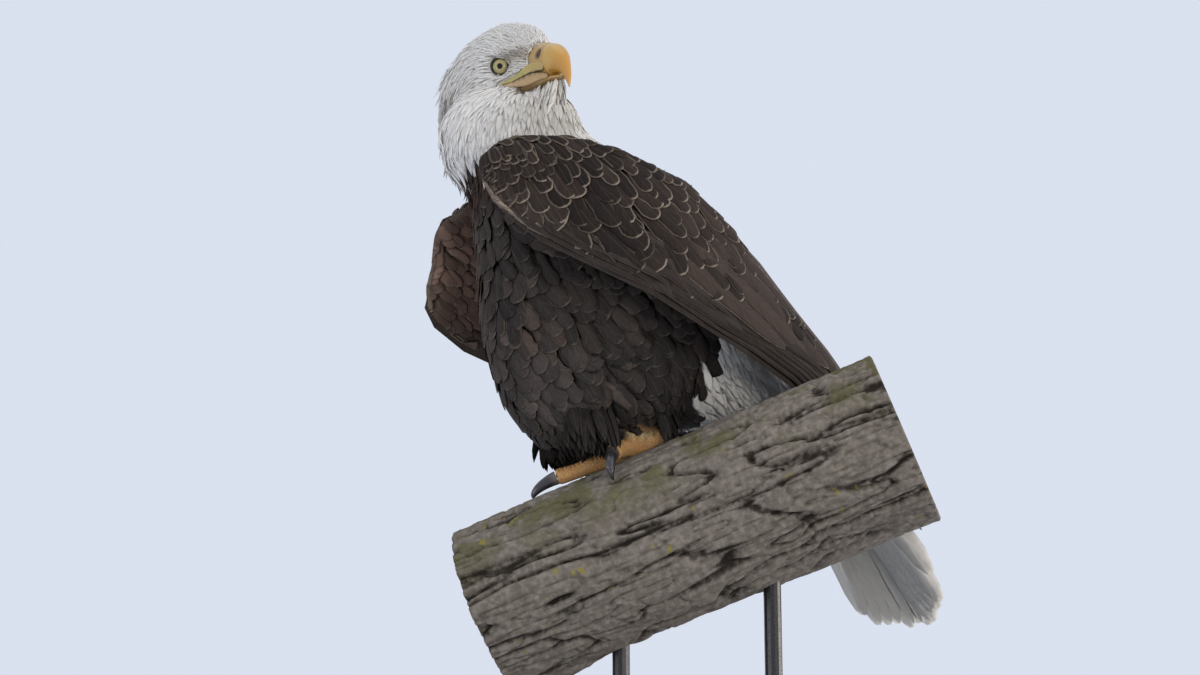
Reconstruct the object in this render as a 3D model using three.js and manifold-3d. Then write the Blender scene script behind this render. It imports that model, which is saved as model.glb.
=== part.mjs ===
// An adult bald eagle perched on a cut length of branch, which a flat base and two rods hold up.
// Millimetres, +Z up. The origin is the middle of the underside of the base.
// The bird's body faces -Y and its left side is +X. Its head is turned back over the left shoulder.

import * as THREE from "three";
import { LoftGeometry } from "three/addons/geometries/LoftGeometry.js";
import { mergeVertices } from "three/addons/utils/BufferGeometryUtils.js";
import Module from "manifold-3d";

const wasm = await Module();
wasm.setup();

const degrees = THREE.MathUtils.degToRad;
const v3 = (x, y, z) => new THREE.Vector3(x, y, z);
const UP = v3(0, 0, 1);

// ---------------------------------------------------------------- driving dimensions

const GAP = 0.35; // between pieces that touch

const BASE_LENGTH = 440;
const BASE_WIDTH = 360;
const BASE_THICKNESS = 22;
const BASE_CORNER = 40;
const BASE_EDGE = 4;
const ROD_RADIUS = 8;
const ROD_SPACING = 150;
const ROD_SINK = 10; // how far each rod goes into the base

const CREST = 489; // the branch's top, where the bird stands
const BRANCH_RADIUS = 80;
const BRANCH_LENGTH = 420;
const BRANCH_HEADING = degrees(58); // from +X towards +Y, uphill
const BRANCH_SLOPE = degrees(20.8);
const BRANCH_SHIFT = 43; // from the bird to the middle of the cut length, uphill

const BIRD_AT = v3(-8, -14, CREST - 9); // the body is placed from here
const CREST_SIDE = 6; // how far the crest lies to the bird's left of that

const HEAD_AT = v3(5, -104, 385.5); // the middle of the head
const HEAD_TURN = degrees(105); // to the bird's left
const HEAD_ROLL = degrees(3); // its right side down
const EYE_RADIUS = 12;
const EYE_SIDE = 26; // from the middle of the head to the eye's visible disc
const EYE_RISE = 5.5; // from the middle of the head up to the eyes
const EYE_OUT = degrees(58); // the eye looks this far to the side of straight ahead

const TAIL_ROOT = v3(-18, 147, 110);
const TAIL_DROOP = degrees(53); // below the horizontal
const TAIL_SWING = degrees(1); // to the bird's left
const TAIL_LENGTH = 292;
const TAIL_FEATHERS = 12;
const TAIL_HALF_FAN = degrees(15);
const TAIL_FEATHER_WIDTH = 44;

const FLIGHT_FEATHERS = 6; // the tips that show behind each wing
// How each wing's tips are carried, outward and up from the middle of the rump.
const TIP_SHIFT = { left: [-5, 0], right: [20, 0] };

// Where each foot stands on the bark: along the branch, uphill, and round it, to the bird's left.
const FEET = { left: { along: 18, round: 9 }, right: { along: -12, round: -47 } };
// Each toe's heading on the bark from downhill towards the crest's left side, its length, and how
// high the last joint is held.
const TOES = {
  left: [
    { heading: degrees(172), length: 30, lift: 9 },
    { heading: degrees(-32), length: 42, lift: 9 },
    { heading: degrees(6), length: 76, lift: 12 },
    { heading: degrees(68), length: 38, lift: 17 },
  ],
  right: [
    { heading: degrees(190), length: 30, lift: 9 },
    { heading: degrees(17), length: 46, lift: 9 },
    { heading: degrees(-14), length: 74, lift: 10 },
    { heading: degrees(-72), length: 46, lift: 9 },
  ],
};

const TARSUS_LENGTH = 52;
const TARSUS_RADIUS = 10.3;
const TOE_RADIUS = 8.2;
const CLAW_RADIUS = 6;
const CLAW_ROOM = 2.8; // from the end of the toe to the claw

// ---------------------------------------------------------------- shape helpers

// A smooth curve through keys. Each key is a list of numbers, and at(t) blends them for t from 0 to 1.
function smooth(keys) {
  const curves = [];
  for (let i = 0; i < keys[0].length; i += 3) {
    const points = keys.map((key) => v3(key[i], key[i + 1] ?? 0, key[i + 2] ?? 0));
    curves.push(new THREE.CatmullRomCurve3(points));
  }
  return (t) => curves.flatMap((curve) => curve.getPoint(t).toArray());
}

// A closed solid through sections along a path. A station is x, y, z, half-width, height and depth:
// the height is measured towards `up`, made square to the path, and the depth away from it.
function loft(stations, up, { rings = 14, sides = 16, power = 2, grow = 0 } = {}) {
  const at = smooth(stations);
  const sections = [];
  for (let i = 0; i <= rings; i++) {
    const t = (1 - Math.cos((Math.PI * i) / rings)) / 2;
    const [x, y, z, width, height, depth] = at(t);
    const before = at(Math.max(t - 0.01, 0));
    const after = at(Math.min(t + 0.01, 1));
    const along = v3(after[0] - before[0], after[1] - before[1], after[2] - before[2]).normalize();
    const wide = along.clone().cross(typeof up === "function" ? up(t) : up).normalize();
    const tall = wide.clone().cross(along);
    const ends = i === 0 ? -grow : i === rings ? grow : 0;
    const middle = v3(x, y, z).addScaledVector(along, ends);
    sections.push(
      Array.from({ length: sides }, (_, k) => {
        const angle = (-2 * Math.PI * k) / sides;
        const [c, s] = [Math.cos(angle), Math.sin(angle)];
        const squared = (w) => Math.sign(w) * Math.abs(w) ** (2 / power);
        return middle
          .clone()
          .addScaledVector(wide, squared(c) * (width + grow))
          .addScaledVector(tall, squared(s) * ((s > 0 ? height : depth) + grow));
      }),
    );
  }
  return new LoftGeometry(sections, { capStart: true, capEnd: true });
}

// A three.js geometry, moved by a matrix, as a manifold solid. One that is inside out is turned round.
function solid(geometry, matrix = new THREE.Matrix4()) {
  const bare = new THREE.BufferGeometry().setAttribute("position", geometry.attributes.position);
  if (geometry.index) bare.setIndex(geometry.index);
  const merged = mergeVertices(bare, 1e-4).applyMatrix4(matrix);
  const triangles = Array.from(merged.index.array);
  const whole = [];
  for (let i = 0; i < triangles.length; i += 3) {
    const [a, b, c] = triangles.slice(i, i + 3);
    if (a !== b && b !== c && c !== a) whole.push(a, b, c);
  }
  const build = (triVerts) =>
    new wasm.Manifold(
      new wasm.Mesh({
        numProp: 3,
        vertProperties: merged.attributes.position.array,
        triVerts: new Uint32Array(triVerts),
      }),
    );
  const made = build(whole);
  return made.volume() < 0 ? build(whole.reverse()) : made;
}

function geometryOf(manifold) {
  const mesh = manifold.getMesh();
  return new THREE.BufferGeometry()
    .setAttribute("position", new THREE.BufferAttribute(new Float32Array(mesh.vertProperties), 3))
    .setIndex(new THREE.BufferAttribute(new Uint32Array(mesh.triVerts), 1));
}

const eagle = new THREE.Group();

function add(name, manifold, material) {
  const geometry = geometryOf(manifold);
  geometry.computeVertexNormals();
  const mesh = new THREE.Mesh(geometry, new THREE.MeshStandardMaterial(material));
  mesh.name = name;
  eagle.add(mesh);
}

const BROWN = { color: 0x3a2f29, roughness: 0.8 };
const WHITE = { color: 0xe9e7e1, roughness: 0.8 };
const YELLOW = { color: 0xe0a12e, roughness: 0.45 };
const CERE = { color: 0xd6c04a, roughness: 0.5 };
const SCALY = { color: 0xd8a24a, roughness: 0.6 };
const HORN = { color: 0x1b1a1c, roughness: 0.25 };
const IRIS = { color: 0xd9cf8f, roughness: 0.1 };
const BARK = { color: 0x77706a, roughness: 0.95 };
const STEEL = { color: 0x2b2b2d, roughness: 0.4, metalness: 0.8 };
const BOARD = { color: 0x3c2a1e, roughness: 0.5 };

const SIDES = { left: 1, right: -1 };

// ---------------------------------------------------------------- branch and stand

// The branch's own axes: `uphill` along it, `square` level across it, `outward` up from it.
const uphill = v3(
  Math.cos(BRANCH_HEADING) * Math.cos(BRANCH_SLOPE),
  Math.sin(BRANCH_HEADING) * Math.cos(BRANCH_SLOPE),
  Math.sin(BRANCH_SLOPE),
);
const square = uphill.clone().cross(UP).normalize();
const outward = square.clone().cross(uphill);
const branchRoot = v3(BIRD_AT.x, BIRD_AT.y, CREST)
  .addScaledVector(square, CREST_SIDE)
  .addScaledVector(outward, -BRANCH_RADIUS);

// A point on the bark: `along` the branch, `round` it from the crest, and `height` above it.
function onBranch(along, round, height = 0) {
  const turn = round / BRANCH_RADIUS;
  const out = outward.clone().multiplyScalar(Math.cos(turn)).addScaledVector(square, Math.sin(turn));
  return branchRoot
    .clone()
    .addScaledVector(uphill, along)
    .addScaledVector(out, BRANCH_RADIUS + height);
}

// The bark's outer shape: true along the top, for the feet, and lumpy underneath.
function branchSolid(grow = 0) {
  const rings = 8;
  const sides = 20;
  const sections = Array.from({ length: rings + 1 }, (_, i) => {
    const along = BRANCH_SHIFT + (BRANCH_LENGTH + 2 * grow) * (i / rings - 0.5);
    return Array.from({ length: sides }, (_, k) => {
      const turn = (2 * Math.PI * k) / sides;
      const under = (1 - Math.cos(turn)) / 2;
      const lumps = 4 * Math.sin(3 * turn + along / 70) + 3 * Math.sin(along / 45 - 2 * turn);
      return onBranch(along, turn * BRANCH_RADIUS, under * (lumps - 4) + grow);
    });
  });
  return solid(new LoftGeometry(sections, { capStart: true, capEnd: true }));
}

function baseSolid() {
  const [x, y, r] = [BASE_LENGTH / 2 - BASE_CORNER, BASE_WIDTH / 2 - BASE_CORNER, BASE_CORNER];
  const outline = new THREE.Shape()
    .absarc(x, -y, r, -Math.PI / 2, 0)
    .absarc(x, y, r, 0, Math.PI / 2)
    .absarc(-x, y, r, Math.PI / 2, Math.PI)
    .absarc(-x, -y, r, Math.PI, 1.5 * Math.PI);
  const board = { bevelThickness: BASE_EDGE, bevelSize: BASE_EDGE, bevelOffset: -BASE_EDGE };
  const depth = BASE_THICKNESS - 2 * BASE_EDGE;
  const curves = { bevelSegments: 1, curveSegments: 3 };
  return solid(
    new THREE.ExtrudeGeometry(outline, { depth, ...board, ...curves }).translate(0, 0, BASE_EDGE),
  );
}

function rod(at, radius, low, high) {
  const cylinder = new THREE.CylinderGeometry(radius, radius, high - low, 14);
  return solid(cylinder.rotateX(Math.PI / 2).translate(at.x, at.y, (low + high) / 2));
}

function addStand() {
  let base = baseSolid();
  let branch = branchSolid();
  for (const [name, step] of [["front", -0.5], ["back", 0.5]]) {
    const at = branchRoot.clone().addScaledVector(uphill, BRANCH_SHIFT + step * ROD_SPACING);
    const low = BASE_THICKNESS - ROD_SINK;
    const high = at.z - BRANCH_RADIUS / 2;
    add(`stand_rod_${name}`, rod(at, ROD_RADIUS, low, high), STEEL);
    const socket = rod(at, ROD_RADIUS + GAP, low - GAP, high + GAP);
    base = base.subtract(socket);
    branch = branch.subtract(socket);
  }
  add("stand_base", base, BOARD);
  add("perch_branch", branch, BARK);
}
addStand();

// ---------------------------------------------------------------- body

// Everything from here is placed from BIRD_AT.
const birdPlace = new THREE.Matrix4().makeTranslation(BIRD_AT);
const place = (geometry, matrix = new THREE.Matrix4()) => solid(geometry, birdPlace.clone().multiply(matrix));

// The wings are drawn on the bird's left; this carries one to its own side.
const onSide = (side) => new THREE.Matrix4().makeScale(side, 1, 1);

const BACKWARD_UP = v3(0, 1, 0.6).normalize();

const trunkStations = [
  [2, -101, 322, 54, 50, 56],
  [1, -92, 296, 72, 62, 64],
  [0, -71, 259, 86, 84, 88],
  [-2, -41, 224, 92, 106, 132],
  [-4, -6, 190, 94, 114, 168],
  [-6, 34, 159, 90, 106, 176],
  [-6, 73, 130, 76, 88, 118],
  [-6, 108, 102, 54, 60, 66],
  [-5, 136, 74, 34, 36, 30],
  [-4, 156, 52, 16, 16, 10],
];
const trunkLoft = (grow) =>
  place(loft(trunkStations, BACKWARD_UP, { rings: 17, sides: 20, power: 2.1, grow }));

const neckStations = [
  [0, -96, 284, 62, 54, 62],
  [-1, -99, 302, 69, 66, 72],
  [-6, -107, 321, 65, 65, 76],
  [-20, -117, 341, 48, 47, 66],
  [-33, -116, 359, 30, 30, 44],
  [-37, -112, 373, 16, 16, 24],
];
const neckLoft = (grow) => place(loft(neckStations, v3(0, 1, 0.2), { rings: 7, sides: 20, grow }));

// The full throat, from the chin down to the front of the neck.
const throatStations = [
  [54, -91, 360, 7, 7, 7],
  [46, -91, 353, 18, 18, 18],
  [42, -88, 341, 25, 25, 25],
  [35, -82, 316, 33, 33, 33],
  [26, -84, 294, 34, 34, 34],
];
const throat = place(loft(throatStations, v3(0, 1, 0.2), { rings: 4, sides: 12 }));

// The head's own axes: -y is its front, x its left, z up, with the origin in the middle of the head.
const headPlace = new THREE.Matrix4()
  .makeTranslation(HEAD_AT.x + BIRD_AT.x, HEAD_AT.y + BIRD_AT.y, HEAD_AT.z + BIRD_AT.z)
  .multiply(new THREE.Matrix4().makeRotationZ(HEAD_TURN))
  .multiply(new THREE.Matrix4().makeRotationY(-HEAD_ROLL));
const onHead = (geometry) => solid(geometry, headPlace);
const headLoft = (stations, options, up = UP) => onHead(loft(stations, up, options));

const headStations = [
  [0, 106, -34, 14, 16, 18],
  [0, 92, -24, 36, 38, 36],
  [0, 60, -7, 48, 56, 46],
  [0, 27, 0, 45, 60, 46],
  [0, 2, 0, 34, 55, 37],
  [0, -14, 1, 28, 49, 27],
  [0, -26, 1, 21, 39, 20],
  [0, -35, 1, 15, 26, 15],
];
const SKULL = { rings: 12, sides: 18, power: 2.15 };
const cereStations = [
  [0, -28, 0, 14, 19, 15],
  [0, -39, 1, 13, 19, 16],
  [0, -50, 0, 11.9, 16.6, 16.6],
];
const upperBillStations = [
  [0, -50.5, 0, 11.7, 16.2, 16.6],
  [0, -56, -1.2, 10.9, 15, 16.4],
  [0, -61, -3.6, 9.5, 13, 15],
  [0, -66, -8, 7.4, 10.6, 11.5],
  [0, -71, -15, 5, 6.8, 6.6],
  [0, -75, -24, 3, 3.2, 3.4],
  [0, -77, -34.5, 0.7, 0.7, 0.8],
];
const lowerBillStations = [
  [0, -4, -20, 16, 3.5, 6],
  [0, -20, -19.6, 14.6, 3.5, 5],
  [0, -36, -19.4, 12.4, 3.2, 4.4],
  [0, -50, -20, 9.8, 2.8, 3.6],
  [0, -61, -21, 6.6, 2, 2.6],
  [0, -69, -22, 2.8, 1, 1.2],
];

const lowerBill = (grow) => headLoft(lowerBillStations, { rings: 5, sides: 10, grow });

function addHead() {
  const cere = headLoft(cereStations, { rings: 3, sides: 16, power: 2.3 });
  const cereRoom = headLoft(cereStations, { rings: 3, sides: 16, power: 2.3, grow: GAP });
  const hookUp = v3(0, -0.6, 0.8);
  const upper = headLoft(upperBillStations, { rings: 9, sides: 12, power: 2.2 }, hookUp);
  const upperRoom = headLoft(upperBillStations, { rings: 9, sides: 12, power: 2.2, grow: GAP }, hookUp);

  let head = headLoft(headStations, SKULL).subtract(cereRoom).subtract(lowerBill(GAP));
  for (const [name, side] of Object.entries(SIDES)) {
    const look = v3(side * Math.sin(EYE_OUT), -Math.cos(EYE_OUT), 0);
    const ball = (radius, out) => {
      const middle = v3(side * EYE_SIDE, 0, EYE_RISE).addScaledVector(look, out);
      const sphere = new THREE.SphereGeometry(radius, 9, 6);
      return onHead(sphere.translate(middle.x, middle.y, middle.z));
    };
    add(`eye_${name}`, ball(EYE_RADIUS, -7.9), IRIS);
    head = head.subtract(ball(18, 16.5)).subtract(ball(EYE_RADIUS + GAP, -7.9));
  }
  add("bill_upper", upper, YELLOW);
  add("bill_lower", lowerBill(0).subtract(upperRoom).subtract(cereRoom), YELLOW);
  add("cere", cere.subtract(upperRoom), CERE);
  add("head", head, WHITE);
}
addHead();

const headRoom = headLoft(headStations, { ...SKULL, grow: GAP });
const neck = neckLoft(0).add(throat).subtract(headRoom).subtract(trunkLoft(GAP)).subtract(lowerBill(GAP));
add("neck", neck, WHITE);

// ---------------------------------------------------------------- tail

// One flat, pointed feather from root to tip, as wide as `width` and facing `out`.
function blade(root, tip, width, out, bow = 0) {
  const shape = [[0, 0.3, 1.3], [0.4, 0.9, 1.6], [0.75, 1, 1.3], [0.94, 0.75, 1], [1, 0.3, 0.8]];
  const stations = shape.map(([t, wide, thick]) => {
    const at = root.clone().lerp(tip, t).addScaledVector(out, bow * Math.sin(Math.PI * t));
    return [...at, (wide * width) / 2, thick, thick];
  });
  return loft(stations, out, { rings: 4, sides: 4 });
}

const tailAlong = v3(
  Math.sin(TAIL_SWING) * Math.cos(TAIL_DROOP),
  Math.cos(TAIL_SWING) * Math.cos(TAIL_DROOP),
  -Math.sin(TAIL_DROOP),
);
const tailAcross = v3(Math.cos(TAIL_SWING), -Math.sin(TAIL_SWING), 0);
const tailOut = tailAcross.clone().cross(tailAlong);

function tailFan() {
  let fan;
  for (let i = 0; i < TAIL_FEATHERS; i++) {
    const place01 = (2 * i) / (TAIL_FEATHERS - 1) - 1;
    const turn = place01 * TAIL_HALF_FAN;
    const length = TAIL_LENGTH * (1 - 0.07 * place01 ** 2);
    const sink = -5 * Math.abs(place01);
    const root = TAIL_ROOT.clone().addScaledVector(tailAcross, 16 * place01).addScaledVector(tailOut, sink);
    const tip = root
      .clone()
      .addScaledVector(tailAlong, length * Math.cos(turn))
      .addScaledVector(tailAcross, length * Math.sin(turn))
      .addScaledVector(tailOut, sink);
    const feather = place(blade(root, tip, TAIL_FEATHER_WIDTH, tailOut));
    fan = fan ? fan.add(feather) : feather;
  }
  return fan;
}

const tailPoint = (down, out) =>
  TAIL_ROOT.clone().addScaledVector(tailAlong, down).addScaledVector(tailOut, out).toArray();
const covertStations = [
  [...tailPoint(-30, -4), 30, 22, 30],
  [...tailPoint(0, -4), 44, 24, 36],
  [...tailPoint(40, -4), 46, 18, 26],
  [...tailPoint(80, -4), 44, 10, 14],
  [...tailPoint(112, -4), 34, 3, 5],
];
const covertsLoft = (grow) => place(loft(covertStations, tailOut, { rings: 6, sides: 12, grow }));
const branchRoom = branchSolid(GAP);
add("tail", covertsLoft(0).add(tailFan()).subtract(trunkLoft(GAP)).subtract(branchRoom), WHITE);

// ---------------------------------------------------------------- wings

const wingStations = {
  left: [
    [92, -176, 257, 8, 6, 6],
    [95, -164, 258, 27, 13, 13],
    [101, -136, 251, 50, 17, 16],
    [108, -92, 237, 65, 16, 15],
    [112, -44, 222, 74, 14, 14],
    [108, 6, 206, 78, 13, 13],
    [95, 52, 183, 78, 12, 12],
    [76, 101, 156, 68, 11, 11],
    [58, 147, 128, 48, 9, 9],
    [47, 186, 101, 34, 6, 6],
    [39, 218, 74, 21, 3, 3],
  ],
  right: [
    [92, -160, 243, 10, 6, 6],
    [95, -154, 243, 36, 13, 13],
    [101, -137, 238, 68, 17, 16],
    [106, -114, 228, 79, 17, 16],
    [110, -78, 212, 78, 16, 15],
    [112, -36, 197, 78, 14, 14],
    [108, 14, 180, 77, 13, 13],
    [95, 62, 157, 72, 12, 12],
    [76, 116, 129, 60, 10, 10],
    [57, 164, 101, 43, 8, 8],
    [42, 212, 67, 21, 3, 3],
  ],
};
const wingOut = smooth([
  [0.95, -0.3, 0.1],
  [0.95, -0.05, 0.2],
  [0.92, 0.05, 0.35],
  [0.85, 0.15, 0.5],
  [0.8, 0.2, 0.55],
]);
const wingFaces = (t) => v3(...wingOut(t));
const WING = { rings: 12, sides: 14, power: 2.3 };

// The tips of the flight feathers, from the longest primary up to the innermost tertial.
const flightRoots = smooth([[94, 96, 122], [86, 104, 136], [76, 116, 150], [64, 130, 166]]);
const flightTips = smooth([[16, 305, -32], [18, 291, 13], [20, 260, 57], [26, 222, 98]]);

const wingLoft = (name, grow) =>
  place(loft(wingStations[name], wingFaces, { ...WING, grow }), onSide(SIDES[name]));

for (const [name, side] of Object.entries(SIDES)) {
  let wing = wingLoft(name, 0);
  for (let i = 0; i < FLIGHT_FEATHERS; i++) {
    const t = i / (FLIGHT_FEATHERS - 1);
    const out = v3(0.8, 0.2, 0.55).normalize();
    const lay = out.clone().multiplyScalar(2 * t);
    const root = v3(...flightRoots(t)).add(lay);
    const [outward, up] = TIP_SHIFT[name];
    const tip = v3(...flightTips(t)).add(lay).add(v3(outward, 0, up));
    wing = wing.add(place(blade(root, tip, 46, out, 5), onSide(side)));
  }
  wing = wing.subtract(trunkLoft(GAP)).subtract(covertsLoft(GAP)).subtract(branchRoom);
  add(`wing_${name}`, wing, BROWN);
}

// ---------------------------------------------------------------- legs

// A point on a toe: `out` from the foot's middle, at the toe's heading, `height` above the bark.
const alongToe = (foot, toe, out, height) =>
  onBranch(foot.along - out * Math.cos(toe.heading), foot.round + out * Math.sin(toe.heading), height);

const stationsAt = (rows) => rows.map(([point, ...sizes]) => [...point, ...sizes]);

// A toe with three swollen joints and its pads just clear of the bark.
function toeSolid(foot, toe) {
  const rows = [];
  const steps = 5;
  for (let i = 0; i <= steps; i++) {
    const t = i / steps;
    const thick = TOE_RADIUS * (1.05 - 0.2 * t + 0.1 * Math.cos(6 * Math.PI * t));
    const rest = thick + GAP + (toe.lift - 8) * t;
    rows.push([alongToe(foot, toe, 2 + (toe.length - 2) * t, rest), thick * 0.95, thick, thick]);
  }
  return solid(loft(stationsAt(rows), outward, { rings: 6, sides: 7 }));
}

// A claw that starts just off the end of its toe, level, and curves down to meet the bark.
function clawSolid(foot, toe) {
  const rows = [];
  const steps = 6;
  const reach = toe.length < 60 ? 20 : 25;
  const start = TOE_RADIUS * 0.95 + GAP + toe.lift - 8;
  for (let i = 0; i <= steps; i++) {
    const t = i / steps;
    const bend = degrees(100) * t;
    const out = toe.length + CLAW_ROOM + reach * Math.sin(bend);
    const height = 1.3 + (start - 1.3) * (1 - (1 - Math.cos(bend)) / (1 - Math.cos(degrees(100))));
    const thick = CLAW_RADIUS * (1 - t) ** 0.7 + 0.6;
    rows.push([alongToe(foot, toe, out, height), thick * 0.8, thick, thick]);
  }
  return solid(loft(stationsAt(rows), outward, { rings: 4, sides: 6 }));
}

// The bare shank, from the foot's middle up into the thigh.
function tarsusSolid(name, grow) {
  const foot = FEET[name];
  const sole = onBranch(foot.along, foot.round, TOE_RADIUS + 1);
  const ankle = sole.clone().add(v3(SIDES[name] * 2, 2, TARSUS_LENGTH));
  const stations = stationsAt([
    [sole, 11, 11, 10],
    [sole.clone().lerp(ankle, 0.2), TARSUS_RADIUS + 2, TARSUS_RADIUS + 2, TARSUS_RADIUS + 2],
    [sole.clone().lerp(ankle, 0.5), TARSUS_RADIUS, TARSUS_RADIUS, TARSUS_RADIUS],
    [ankle, TARSUS_RADIUS, TARSUS_RADIUS, TARSUS_RADIUS],
  ]);
  return solid(loft(stations, v3(0, -1, 0), { rings: 4, sides: 10, grow }));
}

const thighStations = {
  left: [
    [45, 20, 112, 38, 46, 42],
    [43, 18, 86, 36, 42, 34],
    [35, 13, 66, 28, 33, 27],
    [23.5, 7, 46, 15, 15, 15],
  ],
  right: [
    [-46, 20, 100, 34, 40, 38],
    [-48, 19, 74, 33, 36, 33],
    [-46, 18, 50, 25, 26, 25],
    [-43, 17, 25, 15, 15, 15],
  ],
};

let trunk = trunkLoft(0);
for (const name of Object.keys(SIDES)) {
  const shankRoom = tarsusSolid(name, GAP);
  let foot = tarsusSolid(name, 0);
  TOES[name].forEach((toe, i) => {
    foot = foot.add(toeSolid(FEET[name], toe));
    add(`claw_${name}_${i + 1}`, clawSolid(FEET[name], toe), HORN);
  });
  add(`foot_${name}`, foot, SCALY);
  const thigh = place(loft(thighStations[name], v3(0, 1, 0), { rings: 5, sides: 14 }));
  const free = thigh.subtract(trunkLoft(GAP)).subtract(wingLoft(name, GAP)).subtract(shankRoom);
  add(`thigh_${name}`, free, BROWN);
  trunk = trunk.subtract(shankRoom);
}
add("trunk", trunk, BROWN);

export default eagle;
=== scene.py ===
import bmesh
import bpy
import numpy as np
from mathutils import Matrix, Vector
from mathutils.bvhtree import BVHTree
from mathutils.kdtree import KDTree


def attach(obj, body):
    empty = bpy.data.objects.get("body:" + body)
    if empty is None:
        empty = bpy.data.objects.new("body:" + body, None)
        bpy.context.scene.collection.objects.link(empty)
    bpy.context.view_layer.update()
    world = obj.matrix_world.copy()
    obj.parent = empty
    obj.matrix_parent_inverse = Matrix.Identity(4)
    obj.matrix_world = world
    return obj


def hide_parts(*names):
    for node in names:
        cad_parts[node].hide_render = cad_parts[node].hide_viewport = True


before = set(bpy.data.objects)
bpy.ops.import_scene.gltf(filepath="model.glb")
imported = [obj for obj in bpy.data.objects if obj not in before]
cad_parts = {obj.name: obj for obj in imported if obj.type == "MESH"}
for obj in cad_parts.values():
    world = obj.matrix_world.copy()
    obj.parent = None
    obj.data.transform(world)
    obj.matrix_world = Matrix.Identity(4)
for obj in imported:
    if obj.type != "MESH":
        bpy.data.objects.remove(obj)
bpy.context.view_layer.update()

# ---------------------------------------------------------------- the room
# A plain pale floor under a pale overcast sky, with five soft square lamps: one overhead, one high and
# one low on the bird's left, and one low behind and one low before it. The camera looks up at the bird
# from just above the floor.
SKY = (0.70, 0.75, 0.86)
AIM = Vector((-0.0155, -0.0347, 0.616))
CAMERA_AT = Vector((1.9724, -0.7583, 0.0492))
LENS = 69.1
SUN = (1.0, 0.90, 0.76)

scene = bpy.context.scene
camera = bpy.data.objects.new("camera", bpy.data.cameras.new("camera"))
camera.data.lens = LENS
camera.data.clip_start = 0.02
camera.location = CAMERA_AT
camera.rotation_euler = (AIM - CAMERA_AT).to_track_quat("-Z", "Y").to_euler()
scene.collection.objects.link(camera)
scene.camera = camera

world = bpy.data.worlds.new("sky")
world.use_nodes = True
world.node_tree.nodes["Background"].inputs["Color"].default_value = (*SKY, 1)
world.node_tree.nodes["Background"].inputs["Strength"].default_value = 1.0
scene.world = world
scene.view_settings.view_transform = "Standard"


def lamp(name, place, aim, size, watts, tone, spread_angle=np.pi):
    light = bpy.data.objects.new(name, bpy.data.lights.new(name, "AREA"))
    light.data.size = size
    light.data.energy = watts
    light.data.color = tone
    light.data.spread = spread_angle
    light.location = place
    light.rotation_euler = (Vector(aim) - Vector(place)).to_track_quat("-Z", "Y").to_euler()
    scene.collection.objects.link(light)


lamp("overhead", (0.6, -0.9, 3.4), (0, 0, 0.7), 2.6, 17, SUN)
lamp("side", (2.4, 1.6, 1.9), (0, 0, 0.7), 2.0, 8, SUN)
lamp("low", (2.9, 0.3, 0.62), (0, 0.1, 0.62), 1.1, 4.8, (1.0, 0.90, 0.77), np.radians(75))
lamp("back", (0.5, 2.8, 0.62), (0, 0.1, 0.6), 1.1, 6, (1.0, 0.92, 0.80), np.radians(70))
lamp("front", (0.9, -2.6, 0.35), (0, 0.2, 0.55), 1.2, 2.6, (1.0, 0.93, 0.84), np.radians(75))


class Finish:
    """A material and its nodes, wired up by short calls."""

    def __init__(self, name, roughness=0.7, **sockets):
        self.material = bpy.data.materials.new(name)
        self.material.use_nodes = True
        self.tree = self.material.node_tree
        self.shader = self.tree.nodes["Principled BSDF"]
        self.shader.inputs["Roughness"].default_value = roughness
        for socket, value in sockets.items():
            self.shader.inputs[socket.replace("_", " ")].default_value = value
        self.place = self.node("TexCoord").outputs["Object"]

    def node(self, kind, **settings):
        made = self.tree.nodes.new("ShaderNode" + kind)
        for key, value in settings.items():
            setattr(made, key, value)
        return made

    def wire(self, value, socket):
        if isinstance(value, bpy.types.NodeSocket):
            self.tree.links.new(value, socket)
        else:
            socket.default_value = value

    def maths(self, operation, a, b=0.0):
        made = self.node("Math", operation=operation)
        self.wire(a, made.inputs[0])
        self.wire(b, made.inputs[1])
        return made.outputs[0]

    def ramp(self, value, low, high):
        """0 at low and 1 at high, smoothly."""
        made = self.node("MapRange", interpolation_type="SMOOTHSTEP")
        self.wire(value, made.inputs["Value"])
        made.inputs["From Min"].default_value = low
        made.inputs["From Max"].default_value = high
        return made.outputs["Result"]

    def stretch(self, by, place=None):
        made = self.node("Mapping")
        made.inputs["Scale"].default_value = by
        self.wire(place or self.place, made.inputs["Vector"])
        return made.outputs["Vector"]

    def noise(self, scale, detail=4.0, place=None, roughness=0.55):
        made = self.node("TexNoise")
        self.wire(place or self.place, made.inputs["Vector"])
        made.inputs["Scale"].default_value = scale
        made.inputs["Detail"].default_value = detail
        made.inputs["Roughness"].default_value = roughness
        return made.outputs["Fac"]

    def mix(self, share, a, b, blend="MIX"):
        made = self.node("MixRGB", blend_type=blend)
        self.wire(share, made.inputs[0])
        self.wire(a if isinstance(a, bpy.types.NodeSocket) else (*a, 1), made.inputs[1])
        self.wire(b if isinstance(b, bpy.types.NodeSocket) else (*b, 1), made.inputs[2])
        return made.outputs[0]

    def attribute(self, name, output="Fac"):
        return self.node("Attribute", attribute_name=name).outputs[output]

    def colour(self, value):
        self.wire(value, self.shader.inputs["Base Color"])

    def rough(self, value):
        self.wire(value, self.shader.inputs["Roughness"])

    def bump(self, height, depth, strength=1.0):
        made = self.node("Bump")
        made.inputs["Strength"].default_value = strength
        made.inputs["Distance"].default_value = depth
        self.wire(height, made.inputs["Height"])
        self.wire(made.outputs["Normal"], self.shader.inputs["Normal"])


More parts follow.
